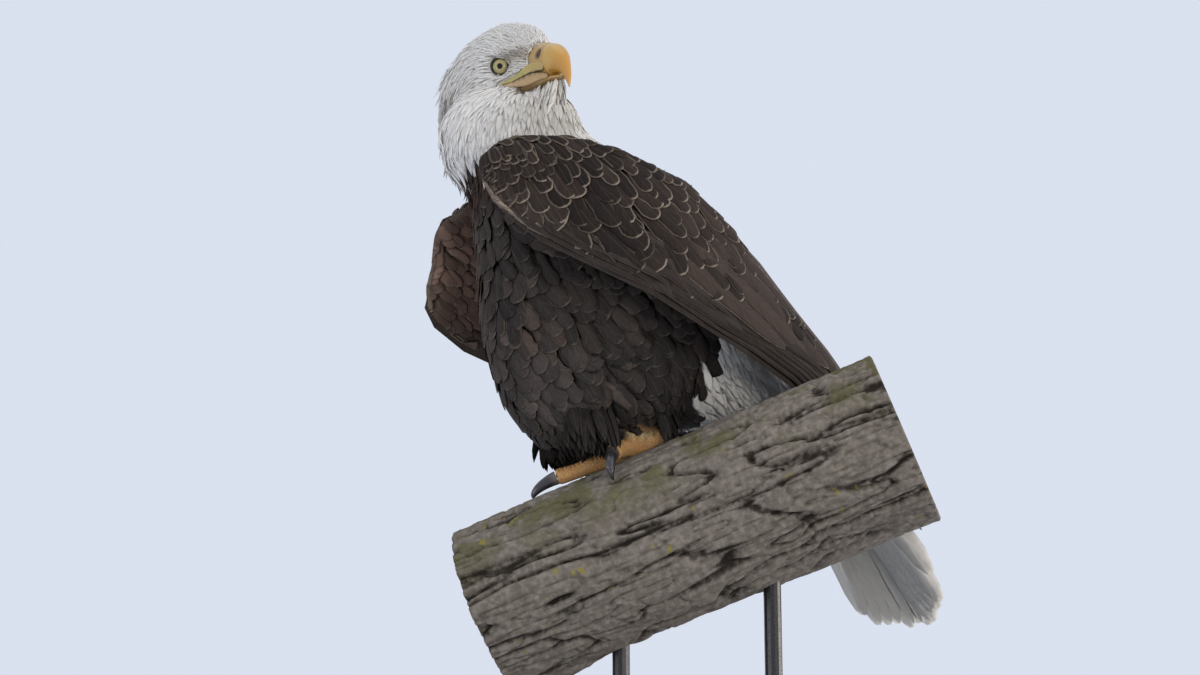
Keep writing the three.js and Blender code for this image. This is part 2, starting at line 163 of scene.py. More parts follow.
floor_finish = Finish("pale_floor", 0.9)
grain = floor_finish.noise(30)
floor_finish.colour(floor_finish.mix(grain, (0.60, 0.62, 0.66), (0.64, 0.66, 0.70)))
floor_mesh = bpy.data.meshes.new("floor")
floor_mesh.from_pydata([(-8, -8, 0), (8, -8, 0), (8, 8, 0), (-8, 8, 0)], [], [(0, 1, 2, 3)])
floor_mesh.materials.append(floor_finish.material)
floor = bpy.data.objects.new("floor", floor_mesh)
scene.collection.objects.link(floor)


# ---------------------------------------------------------------- stand_base and its two rods
# A flat board of dark stained wood with a rounded edge, and two black steel rods let into it that
# carry the branch. Both are satin finished.
def cover(names, finish):
    for name in names:
        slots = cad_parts[name].data.materials
        slots.clear()
        slots.append(finish.material)


board = Finish("stained_board", 0.42)
rings = board.noise(9, 5, board.stretch((1.2, 14, 14)))
pores = board.noise(120, 3, board.stretch((1, 18, 18)))
tone = board.mix(board.ramp(rings, 0.35, 0.7), (0.050, 0.026, 0.013), (0.115, 0.062, 0.030))
board.colour(board.mix(board.ramp(pores, 0.62, 0.75), tone, (0.022, 0.012, 0.007)))
board.rough(board.ramp(rings, -1.5, 2.5))
board.bump(pores, 0.0002, 0.4)
cover(["stand_base"], board)

steel = Finish("black_rod", 0.35, Metallic=0.6)
speckle = steel.noise(600, 2)
steel.colour(steel.mix(speckle, (0.018, 0.018, 0.020), (0.045, 0.045, 0.048)))
steel.rough(steel.ramp(speckle, -0.4, 2.0))
steel.bump(speckle, 0.0001, 0.3)
cover(["stand_rod_front", "stand_rod_back"], steel)


# ---------------------------------------------------------------- perch_branch
# A cut length of an old branch, 160 mm thick, held up by the two rods. Its grey-brown bark has split
# into long plates with deep furrows between them, painted darker towards their bottoms as painted shade
# over the bark's own darker colour, with olive moss and yellow lichen on top. The ends are sawn.
BIRD_AT = np.array((-0.008, -0.014, 0.480))
BRANCH_RADIUS = 0.080
BRANCH_LENGTH = 0.420
BRANCH_SHIFT = 0.043
FURROW = 0.008
BARK_ALONG, BARK_ROUND = 300, 420
CUT_RINGS = (0.9, 0.6, 0.3, 0.02)
heading, slope = np.radians((58, 20.8))
uphill = np.array((np.cos(heading) * np.cos(slope), np.sin(heading) * np.cos(slope), np.sin(slope)))
square = np.array((uphill[1], -uphill[0], 0)) / np.hypot(uphill[0], uphill[1])
outward = np.cross(square, uphill)
branch_root = BIRD_AT + (0, 0, 0.009) + 0.006 * square - BRANCH_RADIUS * outward


def on_branch(along, turn, height=0.0):
    """Points on the bark, from lengths along it, angles round it from the crest, and heights."""
    along, turn, height = np.broadcast_arrays(along, turn, height)
    out = np.cos(turn)[..., None] * outward + np.sin(turn)[..., None] * square
    return branch_root + along[..., None] * uphill + (BRANCH_RADIUS + height)[..., None] * out


def ripple(points, seed=0):
    """Smooth random values from -1 to 1 at each point, one cell to the unit."""
    cell = np.floor(points).astype(np.int64)
    part = points - cell
    ease = part * part * (3 - 2 * part)
    total = np.zeros(points.shape[:-1])
    for corner in np.ndindex(2, 2, 2):
        at = (cell + corner) * (73856093, 19349663, 83492791)
        mixed = (at[..., 0] ^ at[..., 1] ^ at[..., 2]) + seed * 1013
        mixed = (mixed ^ (mixed >> 13)) * 1274126177 & 0x7FFFFFFF
        value = ((mixed ^ (mixed >> 11)) & 4095) / 2047.5 - 1
        total += value * np.prod(np.where(corner, ease, 1 - ease), axis=-1)
    return total


def layered(points, layers=3, seed=0):
    """Ripples of halving size and strength."""
    return sum(ripple(points * 2**i, seed + i) / 2**i for i in range(layers))


def step_between(low, high, value):
    t = np.clip((value - low) / (high - low), 0, 1)
    return t * t * (3 - 2 * t)


def piece(name, points, *polygons, finish):
    """A mesh object from an array of points and arrays of faces that have 3, 4 or more corners."""
    mesh = bpy.data.meshes.new(name)
    mesh.vertices.add(len(points))
    mesh.vertices.foreach_set("co", np.asarray(points, np.float32).ravel())
    corners = np.concatenate([np.asarray(p).ravel() for p in polygons])
    sides = np.concatenate([np.full(len(p), np.shape(p)[1]) for p in polygons])
    mesh.loops.add(len(corners))
    mesh.loops.foreach_set("vertex_index", corners.astype(np.int32))
    mesh.polygons.add(len(sides))
    starts = np.concatenate([[0], np.cumsum(sides)[:-1]])
    mesh.polygons.foreach_set("loop_start", starts.astype(np.int32))
    mesh.polygons.foreach_set("use_smooth", np.ones(len(sides), bool))
    mesh.update(calc_edges=True)
    made = bpy.data.objects.new(name, mesh)
    scene.collection.objects.link(made)
    mesh.materials.append(finish.material)
    return made


def write(mesh, name, values, kind="FLOAT"):
    """Keeps one number or colour for each vertex."""
    layer = mesh.attributes.new(name, kind, "POINT")
    layer.data.foreach_set("color" if kind == "FLOAT_COLOR" else "value", np.float32(values).ravel())


def tube_faces(rings, sides, first=0):
    """Four-cornered faces that close rings of points into a tube."""
    ring, side = np.meshgrid(np.arange(rings - 1), np.arange(sides), indexing="ij")
    a = first + ring * sides + side
    b = first + ring * sides + (side + 1) % sides
    return np.stack([a, b, b + sides, a + sides], -1).reshape(-1, 4)


def bark_height(along, turn):
    """The bark's depth below its plates, and how far up the plate each point is."""
    place = np.stack([along / 0.075, np.cos(turn) * 4.2, np.sin(turn) * 4.2], -1)
    warp = np.stack([ripple(place * 0.8, s) for s in (11, 12, 13)], -1)
    plates = np.abs(layered(place * (1, 1.15, 1.15) + 0.55 * warp, 2, 3))
    chips = np.abs(ripple(place * (2.4, 3.1, 3.1) + 0.6 * warp, 8))
    cuts = np.abs(ripple(place * (3.5, 0.9, 0.9) + 0.4 * warp, 21))
    deep = 1 - step_between(0.0, 0.30, plates)
    fine = 1 - step_between(0.0, 0.20, chips)
    cross = (1 - step_between(0.0, 0.10, cuts)) * 0.6
    flakes = 0.14 * layered(place * (5, 7, 7), 3, 30)
    low = np.clip(0.72 * deep + 0.34 * fine + 0.25 * cross + flakes + 0.08, 0, 1.15)
    return -FURROW * low, 1 - low


along = BRANCH_SHIFT + BRANCH_LENGTH * (np.arange(BARK_ALONG) / (BARK_ALONG - 1) - 0.5)
turn = 2 * np.pi * np.arange(BARK_ROUND) / BARK_ROUND
along, turn = np.meshgrid(along, turn, indexing="ij")
under = (1 - np.cos(turn)) / 2
lumps = 0.004 * np.sin(3 * turn + along / 0.070) + 0.003 * np.sin(along / 0.045 - 2 * turn)
sink, rise = bark_height(along, turn)
from_end = np.minimum(np.arange(BARK_ALONG), np.arange(BARK_ALONG)[::-1])[:, None]
near_feet = np.exp(-((along - 0.005) / 0.075) ** 2) * step_between(0.3, 0.8, np.cos(turn))
sink = sink * (1 - 0.45 * near_feet)
bark_points = on_branch(along, turn, 0.0032 + under * (lumps - 0.004) + sink - 0.002 * (from_end == 0))
rings_of_cut = []
for end in (0, -1):
    middle = bark_points[end].mean(0)
    for share in CUT_RINGS:
        rings_of_cut.append(middle + (bark_points[end] - middle) * share)
cut = len(CUT_RINGS)
points = np.concatenate([np.array(rings_of_cut[:cut])[::-1], bark_points, np.array(rings_of_cut[cut:])])
count = len(points)
caps = np.stack([np.arange(BARK_ROUND)[::-1], (count - 1) * BARK_ROUND + np.arange(BARK_ROUND)])
bark = Finish("furrowed_bark", 0.95, Specular_IOR_Level=0.25)
branch = piece("perch_bark", points.reshape(-1, 3), tube_faces(count, BARK_ROUND), caps, finish=bark)
height = np.zeros((count, BARK_ROUND))
height[cut:-cut] = rise
sawn = np.ones((count, BARK_ROUND))
sawn[cut:-cut] = 0
write(branch.data, "plate", height)
write(branch.data, "sawn", sawn)
write(branch.data, "crest", np.pad(np.cos(turn), ((cut, cut), (0, 0)), mode="edge"))

plate = bark.attribute("plate")
coarse = bark.noise(22, 5)
fine = bark.noise(160, 4)
# painted shade: the bark darkens into its furrows where the plate height is low, darkest at their bottoms,
# over its own darker colour there
tint = bark.mix(bark.ramp(plate, 0.1, 0.8), (0.028, 0.022, 0.017), (0.172, 0.150, 0.124))
tint = bark.mix(bark.ramp(fine, 0.35, 0.75), tint, (0.290, 0.258, 0.222))
tint = bark.mix(bark.ramp(plate, 0.5, -0.1), tint, (0.026, 0.020, 0.015))
moss_share = bark.maths("MULTIPLY", bark.ramp(coarse, 0.47, 0.60), bark.ramp(plate, -0.1, 0.5))
moss_share = bark.maths("MULTIPLY", moss_share, bark.ramp(bark.attribute("crest"), -0.1, 0.75))
tint = bark.mix(bark.maths("MULTIPLY", moss_share, 0.75), tint, (0.115, 0.112, 0.040))
lichen = bark.ramp(bark.noise(75, 3), 0.64, 0.70)
lichen_share = bark.maths("MULTIPLY", lichen, bark.ramp(bark.noise(14, 2), 0.50, 0.60))
tint = bark.mix(lichen_share, tint, (0.28, 0.24, 0.06))
years = bark.node("TexWave", wave_type="RINGS", rings_direction="Z")
bark.wire(bark.place, years.inputs["Vector"])
years.inputs["Scale"].default_value = 60
years.inputs["Distortion"].default_value = 6
wood = bark.mix(years.outputs["Fac"], (0.30, 0.21, 0.13), (0.42, 0.31, 0.20))
bark.colour(bark.mix(bark.attribute("sawn"), tint, wood))
bark.bump(bark.noise(210, 7, None, 0.75), 0.0030, 1.0)
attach(branch, "root")
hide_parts("perch_branch")

# ---------------------------------------------------------------- skin
# The bird's skin, one closed surface from the face to the toes and the root of the tail. It lies under
# the feathers by their depth, and comes to the surface only round the eyes and bill and on the feet.
VOXEL = 0.0024
GROW = 0.0007
# how deep the coat is over each region, in metres, and how far the joins round it are smoothed away
COAT_DEPTH = {
    "head": 0.0026, "neck": 0.0052, "trunk": 0.007, "wing_left": 0.005, "wing_right": 0.005,
    "thigh_left": 0.006, "thigh_right": 0.006, "tail": 0.004, "foot_left": 0.0, "foot_right": 0.0,
}
SMOOTHING = {
    "head": 0.35, "neck": 0.8, "trunk": 1.0, "wing_left": 0.6, "wing_right": 0.6,
    "thigh_left": 0.8, "thigh_right": 0.8, "tail": 0.7, "foot_left": 0.12, "foot_right": 0.12,
}
REGIONS = list(COAT_DEPTH)
SIDES = {"left": 1, "right": -1}


def bird(*place):
    """A place on the bird in metres, from millimetres off the middle of its feet."""
    return BIRD_AT + np.array(place) / 1000


def unit(vectors):
    vectors = np.asarray(vectors, float)
    return vectors / np.maximum(np.linalg.norm(vectors, axis=-1, keepdims=True), 1e-12)


TAIL_ROOT = bird(-18, 147, 110)
tail_droop, tail_swing = np.radians((53, 1))
tail_along = np.array((np.sin(tail_swing) * np.cos(tail_droop),
                       np.cos(tail_swing) * np.cos(tail_droop), -np.sin(tail_droop)))
tail_across = np.array((np.cos(tail_swing), -np.sin(tail_swing), 0))
tail_out = np.cross(tail_across, tail_along)
HEAD_AT = bird(5, -104, 385.5)
head_axes = np.array(Matrix.Rotation(np.radians(105), 3, "Z") @ Matrix.Rotation(np.radians(-3), 3, "Y"))


def from_head(places):
    """World places from millimetres in the head's own axes: y back, x to its left, z up."""
    return HEAD_AT + np.asarray(places, float) @ head_axes.T / 1000


def to_head(places):
    return (places - HEAD_AT) @ head_axes * 1000


# the flesh of the CAD nodes, with the thin blades of the wings and tail cut off
wing_cut = (bird(0, 186, 0), (0, 1, 0))
blade_cuts = {
    "wing_left": wing_cut, "wing_right": wing_cut,
    "tail": (TAIL_ROOT + 0.092 * tail_along, tail_along),
}
flesh = bmesh.new()
owned_points, owned_faces, owners = [], [], []
for number, name in enumerate(REGIONS):
    node = bmesh.new()
    node.from_mesh(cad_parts[name].data)
    bmesh.ops.remove_doubles(node, verts=node.verts, dist=1e-6)
    if name in blade_cuts:
        place, facing = blade_cuts[name]
        bmesh.ops.bisect_plane(node, geom=node.verts[:] + node.edges[:] + node.faces[:], dist=1e-6,
                               plane_co=place, plane_no=facing, clear_outer=True)
        bmesh.ops.holes_fill(node, edges=[e for e in node.edges if e.is_boundary], sides=0)
    bmesh.ops.triangulate(node, faces=node.faces)
    node.normal_update()
    first = len(owned_points)
    owned_points += [v.co.copy() for v in node.verts]
    owned_faces += [[first + v.index for v in face.verts] for face in node.faces]
    owners += [number] * len(node.faces)
    for v in node.verts:
        v.co += v.normal * GROW
    grown = bpy.data.meshes.new("grown")
    node.to_mesh(grown)
    flesh.from_mesh(grown)
    bpy.data.meshes.remove(grown)
    node.free()
rough_mesh = bpy.data.meshes.new("rough")
flesh.to_mesh(rough_mesh)
flesh.free()
rough_body = bpy.data.objects.new("rough", rough_mesh)
scene.collection.objects.link(rough_body)
remesh = rough_body.modifiers.new("remesh", "REMESH")
remesh.mode = "VOXEL"
remesh.voxel_size = VOXEL
body = bmesh.new()
body.from_mesh(rough_body.evaluated_get(bpy.context.evaluated_depsgraph_get()).to_mesh())
bpy.data.objects.remove(rough_body)
owner_tree = BVHTree.FromPolygons(owned_points, owned_faces)


def owner_of(point):
    return owners[owner_tree.find_nearest(point)[2]]


# finer faces where the skin shows
EYE_SIDE, EYE_RISE = 26, 5.5
eye_middles = [from_head((side * EYE_SIDE, 0, EYE_RISE)) for side in SIDES.values()]
face_middle = from_head((0, -12, -2))
foot_numbers = {REGIONS.index("foot_left"), REGIONS.index("foot_right")}
bare_edges, face_edges = set(), set()
for face in body.faces:
    middle = face.calc_center_median()
    if middle.z < BIRD_AT[2] + 0.075 and owner_of(middle) in foot_numbers:
        bare_edges.update(face.edges)
    elif np.linalg.norm(np.array(middle) - face_middle) < 0.034:
        face_edges.update(face.edges)
bmesh.ops.subdivide_edges(body, edges=list(bare_edges), cuts=2, use_grid_fill=True)
bmesh.ops.subdivide_edges(body, edges=[e for e in face_edges if e.is_valid], cuts=1, use_grid_fill=True)
bmesh.ops.triangulate(body, faces=[f for f in body.faces if len(f.verts) > 4])
body.normal_update()
body.verts.index_update()
skin_points = np.array([v.co for v in body.verts])
skin_edges = np.array([[v.index for v in e.verts] for e in body.edges])
corners_of = [[v.index for v in face.verts] for face in body.faces]
skin_quads = np.array([face for face in corners_of if len(face) == 4])
skin_triangles = np.array([face for face in corners_of if len(face) == 3]).reshape(-1, 3)
body.free()
ends = np.concatenate([skin_edges[:, 0], skin_edges[:, 1]])
others = np.concatenate([skin_edges[:, 1], skin_edges[:, 0]])
neighbours = np.maximum(np.bincount(ends, minlength=len(skin_points)), 1)[:, None]


def spread(values, times, share=1.0):
    """Values on the skin's points, each moved towards the middle of its neighbours."""
    for _ in range(times):
        summed = np.stack([np.bincount(ends, column[others], len(values)) for column in values.T], -1)
        values = values + share * (summed / neighbours - values)
    return values


def normals_of(points):
    diagonal = np.cross(points[skin_quads[:, 2]] - points[skin_quads[:, 0]],
                        points[skin_quads[:, 3]] - points[skin_quads[:, 1]])
    flat = np.cross(points[skin_triangles[:, 1]] - points[skin_triangles[:, 0]],
                    points[skin_triangles[:, 2]] - points[skin_triangles[:, 0]])
    total = np.zeros_like(points)
    for polygons, facing in ((skin_quads, diagonal), (skin_triangles, flat)):
        for column in polygons.T:
            for axis in range(3):
                total[:, axis] += np.bincount(column, facing[:, axis], len(points))
    return unit(total)


own = np.array([owner_of(p) for p in skin_points])
region = np.eye(len(REGIONS))[own]
share = spread(region, 6) @ np.array(list(SMOOTHING.values()))[:, None]
for _ in range(45):
    skin_points = spread(skin_points, 1, 0.6 * share)
share_of = spread(region, 10)
skin_normals = unit(spread(normals_of(skin_points), 3))


def share_in(*names):
    """How much each point of the skin belongs to these regions, from 0 to 1."""
    return share_of[:, [REGIONS.index(name) for name in names]].sum(1)


# how thick the body is under each point, so that thin places keep their skin
surface = BVHTree.FromPolygons(skin_points.tolist(), skin_quads.tolist() + skin_triangles.tolist())
thick = np.full(len(skin_points), 0.1)
for i, (point, normal) in enumerate(zip(skin_points, skin_normals)):
    hit = surface.ray_cast(Vector(point - normal * 1e-4), Vector(-normal), 0.1)
    if hit[3] is not None:
        thick[i] = hit[3]


def to_segment(points, a, b):
    """Distance from a line, and the share of the way along it."""
    a, b = np.array(a, float), np.array(b, float)
    t = np.clip((points - a) @ (b - a) / ((b - a) @ (b - a)), 0, 1)
    return np.linalg.norm(points - a - t[:, None] * (b - a), axis=1), t


# bare skin: round the cere, round the eyes and along the gape
from_cere = np.linalg.norm((to_head(skin_points) - (0, -34, 0)) * (0.8, 1, 0.8), axis=1)
bare_face = 1 - step_between(6, 13, from_cere)
eye_room = np.min([np.linalg.norm(skin_points - middle, axis=1) for middle in eye_middles], axis=0)
bare_face = np.maximum(bare_face, 1 - step_between(0.0090, 0.0125, eye_room))
for side in SIDES.values():
    mouth, _ = to_segment(to_head(skin_points), (side * 28, -4, -15), (side * 16, -34, -8))
    bare_face = np.maximum(bare_face, 1 - step_between(3.5, 6.5, mouth))
depth = np.minimum(share_of @ np.array(list(COAT_DEPTH.values())), 0.3 * thick)
depth = spread(depth[:, None], 12)[:, 0] * (1 - 0.75 * bare_face)
skin_points = skin_points - skin_normals * depth[:, None]

# the face: a bony brow over each eye, a hollow round the eyeball, and a dip before the eye
EYE_RADIUS = 12.0
EYE_SINK = 7.9
LID_RADIUS = 8.4
LOOK_TURN, LOOK_DROP = np.radians((47, 8))
head_points = to_head(skin_points)
head_normals = skin_normals @ head_axes
on_head = share_in("head") > 0.3


def facing_out(side, turn, drop):
    """A direction in the head's axes, turned to one side from straight ahead and then lowered."""
    return np.array((side * np.sin(turn) * np.cos(drop), -np.cos(turn) * np.cos(drop), -np.sin(drop)))


eye_looks, eye_balls = {}, {}
for side in SIDES.values():
    eye_looks[side] = facing_out(side, LOOK_TURN, LOOK_DROP)
    eye_balls[side] = np.array((side * EYE_SIDE, 0, EYE_RISE)) - EYE_SINK * eye_looks[side]
    off = head_points - eye_balls[side]
    out = off @ eye_looks[side]
    across = np.linalg.norm(off - out[:, None] * eye_looks[side], axis=1)
    near = on_head & (out > -2) & (across < 18)
    rim = np.sqrt(EYE_RADIUS**2 - LID_RADIUS**2)
    lid = rim + 0.9 * np.exp(-((across - 9.6) / 1.3) ** 2)
    target = np.where(across < LID_RADIUS, np.sqrt(np.maximum(EYE_RADIUS**2 - across**2, 1)) - 1.6, lid)
    pull = (1 - step_between(10, 16, across)) * near
    head_points += ((target - out) * pull)[:, None] * eye_looks[side]
    brow, _ = to_segment(head_points, (side * 15.5, -32, 15.5), (side * 29, 4, 18.5))
    head_points += head_normals * (3.4 * np.exp(-((brow / 3.6) ** 2)) * on_head)[:, None]
    lores, _ = to_segment(head_points, (side * 16, -30, 7), (side * 21, -15, 7))
    head_points -= head_normals * (1.8 * np.exp(-((lores / 4.0) ** 2)) * on_head)[:, None]
skin_points = np.where(on_head[:, None], from_head(head_points), skin_points)

# the feet: broad overlapping plates on the top of each toe, pads below, small round scales between
TARSUS_LENGTH = 52
TOE_RADIUS = 8.2
LINE_POINTS = 24
TOE_PITCH, SHANK_PITCH = 4.3, 5.6
# where each foot stands, in millimetres up the branch and round it from its crest
FEET = {"left": (18, 9), "right": (-12, -47)}
# each toe's heading in degrees, its length, and the height of its tip over the bark
TOES = {
    "left": ((172, 30, 9), (-32, 42, 9), (6, 76, 12), (68, 38, 17)),
    "right": ((190, 30, 9), (17, 46, 9), (-14, 74, 10), (-72, 46, 9)),
}


def toe_place(foot, toe, out, height):
    """Places over the bark, at lengths out along a toe and heights above the bark, in millimetres."""
    up, round_ = FEET[foot]
    heading = np.radians(toe[0])
    out = np.asarray(out, float)
    return on_branch((up - out * np.cos(heading)) / 1000,
                     (round_ + out * np.sin(heading)) / (1000 * BRANCH_RADIUS), np.asarray(height) / 1000)


def toe_line(foot, toe):
    """Points along the middle of a toe, and how far out each one is."""
    t = np.linspace(0, 1, LINE_POINTS)
    rise = TOE_RADIUS * (1.05 - 0.2 * t + 0.1 * np.cos(6 * np.pi * t)) + 0.35 + (toe[2] - 8) * t
    return toe_place(foot, toe, toe[1] * t, rise), toe[1] * t


is_foot = np.isin(own, list(foot_numbers)) & (skin_points[:, 2] < BIRD_AT[2] + 0.08)
skin_normals = normals_of(skin_points)
lift, far_out, shank, scute = (np.zeros(len(skin_points)) for _ in range(4))
for name, (up, round_) in FEET.items():
    number = REGIONS.index("foot_" + name)
    chosen = np.flatnonzero(is_foot & (own == number))
    points = skin_points[chosen]
    best = np.full(len(points), 9.0)
    sole = on_branch(up / 1000, round_ / (1000 * BRANCH_RADIUS), (TOE_RADIUS + 1) / 1000)
    ankle = sole + np.array((SIDES[name] * 2, 2, TARSUS_LENGTH)) / 1000
    beside = np.linalg.norm((points - ankle)[:, :2], axis=1) * 1000
    above = (points[:, 2] - sole[2]) * 1000
    shank[chosen] = step_between(2, 13, above) * (1 - step_between(13, 22, beside))
    lines = [toe_line(name, toe) for toe in TOES[name]]
    shank_share = np.linspace(0.12, 1, LINE_POINTS)[:, None]
    lines.append((sole + shank_share * (ankle - sole), np.linspace(6, 54, LINE_POINTS)))
    for line_number, (line, lengths) in enumerate(lines):
        gaps = np.linalg.norm(points[:, None] - line[None], axis=2)
        closest = gaps.argmin(1)
        gap = gaps.min(1)
        ahead = unit(np.gradient(line, axis=0))[closest]
        off = points - line[closest]
        far = lengths[closest] + 1000 * (off * ahead).sum(1)
        if line_number < 4:
            top = line[closest] - branch_root
            top = unit(top - (top @ uphill)[:, None] * uphill)
        else:
            top = np.broadcast_to(unit(toe_place(name, TOES[name][2], 30, 8) - sole), off.shape)
            top = unit(top - (top * ahead).sum(1)[:, None] * ahead)
        facing = (unit(off - (off * ahead).sum(1)[:, None] * ahead) * top).sum(1)
        pitch = TOE_PITCH if line_number < 4 else SHANK_PITCH
        part = (far / pitch) % 1
        plate_rise = 0.75 * part**0.7 * (1 - step_between(0.88, 1.0, part))
        band = step_between(0.25, 0.6, facing)
        mine = gap < best
        best[mine] = gap[mine]
        lift[chosen[mine]] = (plate_rise * band)[mine]
        far_out[chosen[mine]] = (far / pitch)[mine]
        scute[chosen[mine]] = band[mine]
skin_points = skin_points + skin_normals * (lift * is_foot)[:, None] / 1000
skin_normals = normals_of(skin_points)

# markings, shared by the skin and the coat
TRUNK = ("trunk", "thigh_left", "thigh_right")
on_bird = (skin_points - BIRD_AT) * 1000
white = share_in("head", "neck", "tail")
low_rear = step_between(46, 60, on_bird[:, 1]) * (1 - step_between(150, 175, on_bird[:, 2]))
collar = 304 + 0.30 * (on_bird[:, 1] + 150)
white *= np.maximum(step_between(-7, 7, on_bird[:, 2] - collar), step_between(60, 80, on_bird[:, 1]))
white = np.maximum(white, low_rear * share_in(*TRUNK))
white = step_between(0.35, 0.65, white)
yellow = share_in("foot_left", "foot_right")
lore = bare_face * on_head

hide = Finish("skin", 0.6)
down = hide.noise(90, 4)
dark = hide.mix(down, (0.020, 0.015, 0.012), (0.045, 0.034, 0.027))
pale = hide.mix(down, (0.74, 0.72, 0.67), (0.82, 0.795, 0.74))
tint = hide.mix(hide.attribute("white"), dark, pale)
# the bare skin of the face is grey, painted darker still as painted shade for the hollow before each eye
grey = hide.mix(hide.noise(500, 3), (0.34, 0.315, 0.275), (0.57, 0.535, 0.47))
tint = hide.mix(hide.attribute("lore"), tint, grey)
scaly = hide.mix(hide.noise(60, 4), (0.52, 0.235, 0.060), (0.70, 0.45, 0.20))
cells = hide.node("TexVoronoi", feature="DISTANCE_TO_EDGE")
hide.wire(hide.place, cells.inputs["Vector"])
cells.inputs["Scale"].default_value = 520
crease = hide.ramp(cells.outputs["Distance"], 0.10, 0.0)
scute_part = hide.maths("FRACT", hide.attribute("far_out"))
scute_rise = hide.maths("MULTIPLY", hide.ramp(scute_part, 0.0, 0.45), hide.ramp(scute_part, 1.0, 0.84))
on_scute = hide.attribute("scute")
between = hide.maths("MULTIPLY", hide.ramp(scute_rise, 0.35, 0.0), on_scute)
crease = hide.maths("MAXIMUM", crease, between)
scaly = hide.mix(hide.attribute("shank"), scaly, (0.68, 0.52, 0.27))
scaly = hide.mix(hide.maths("MULTIPLY", crease, 0.6), scaly, (0.24, 0.095, 0.030))
tint = hide.mix(hide.attribute("yellow"), tint, scaly)
hide.colour(tint)
grain = hide.maths("MULTIPLY", hide.ramp(cells.outputs["Distance"], 0.0, 0.2), 0.55)
grain = hide.maths("ADD", grain, hide.maths("MULTIPLY", scute_rise, on_scute))
hide.bump(grain, 0.0011, 0.9)
skin = piece("skin", skin_points, skin_quads, skin_triangles, finish=hide)
for key, values in (("white", white), ("yellow", yellow), ("lore", lore), ("far_out", far_out),
                    ("scute", scute), ("shank", shank)):
    write(skin.data, key, values)
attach(skin, "root")
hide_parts(*REGIONS)

# ---------------------------------------------------------------- eyes and lids
# Pale yellow eyes with a round black pupil, 24 mm across, set deep under the brow. Each is held by a
# thin black lid that is drawn out a little towards the bill.
# how far from the gaze, in degrees, the pupil ends, the iris ends and the dark rim round it is full
PUPIL, IRIS, LIMBUS = 13, 36.5, 39
GAZE_TURN, GAZE_DROP = np.radians((44, 11))
LID_STEPS, LID_SIDES = 64, 12


def ring_grid(rings, sides):
    return np.meshgrid(np.linspace(0, 1, rings), 2 * np.pi * np.arange(sides) / sides, indexing="ij")


def capped(grid):
    """The faces of a tube with both ends closed."""
    rings, sides = grid.shape[:2]
    ends = np.stack([np.arange(sides)[::-1], (rings - 1) * sides + np.arange(sides)])
    return tube_faces(rings, sides), ends


eye_finish = Finish("eye", 0.25, Coat_Weight=0.35, Coat_Roughness=0.02, Specular_IOR_Level=0.15)
turned = eye_finish.attribute("turned")
rays = eye_finish.noise(700, 3)
iris = eye_finish.mix(rays, (0.28, 0.235, 0.095), (0.43, 0.385, 0.20))
iris = eye_finish.mix(eye_finish.ramp(turned, IRIS - 9, IRIS), iris, (0.19, 0.155, 0.065))
iris = eye_finish.mix(eye_finish.ramp(turned, PUPIL + 0.8, PUPIL - 0.8), iris, (0.003, 0.003, 0.003))
iris = eye_finish.mix(eye_finish.ramp(turned, IRIS, LIMBUS), iris, (0.006, 0.005, 0.004))
eye_finish.colour(iris)
eye_finish.bump(rays, 0.00004, 0.2)
lid_finish = Finish("lid", 0.45)
wet = lid_finish.noise(900, 3)
lid_finish.colour(lid_finish.mix(wet, (0.010, 0.009, 0.008), (0.030, 0.027, 0.024)))
lid_finish.bump(wet, 0.0002, 0.5)
for name, side in SIDES.items():
    look = eye_looks[side]
    lift = np.array((0.0, 0.0, 1.0))
    forward = unit(np.cross(lift, look)) * -side
    lift = np.cross(look, forward) * -side
    share, turn = ring_grid(44, 48)
    angle = np.pi * (share * 0.995 + 0.0025)
    radius = EYE_RADIUS * (1 + 0.035 * (1 - step_between(20, 40, np.degrees(angle))))
    gaze = facing_out(side, GAZE_TURN, GAZE_DROP)
    before = unit(np.cross(lift, gaze))
    above = np.cross(gaze, before)
    flat = np.cos(turn)[..., None] * before + np.sin(turn)[..., None] * above
    ball = np.cos(angle)[..., None] * gaze + np.sin(angle)[..., None] * flat
    ball = eye_balls[side] + radius[..., None] * ball
    eye = piece("eye_ball_" + name, from_head(ball.reshape(-1, 3)), *capped(ball), finish=eye_finish)
    write(eye.data, "turned", np.degrees(angle))
    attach(eye, "root")
    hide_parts("eye_" + name)

    round_turn, tube_turn = ring_grid(LID_STEPS + 1, LID_SIDES)
    round_turn = 2 * np.pi * round_turn
    corner = np.maximum(np.cos(round_turn + 0.25), 0) ** 8
    droop = np.maximum(np.sin(round_turn - 0.35), 0) ** 2
    reach = LID_RADIUS + 0.5 + 1.9 * corner - 0.9 * droop
    out = np.sqrt(EYE_RADIUS**2 - (LID_RADIUS - 0.9 * droop) ** 2) - 0.6 * corner + 0.3 + 0.8 * droop
    tube = 0.85 + 0.45 * droop + 0.2 * corner
    flat = np.cos(round_turn)[..., None] * forward + np.sin(round_turn)[..., None] * lift
    lid = eye_balls[side] + (reach + tube * np.cos(tube_turn))[..., None] * flat
    lid = lid + (out + tube * 0.8 * np.sin(tube_turn))[..., None] * look
    faces = tube_faces(LID_STEPS + 1, LID_SIDES) % (LID_STEPS * LID_SIDES)
    lid_ring = piece("lid_" + name, from_head(lid[:-1].reshape(-1, 3)), faces, finish=lid_finish)
    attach(lid_ring, "root")

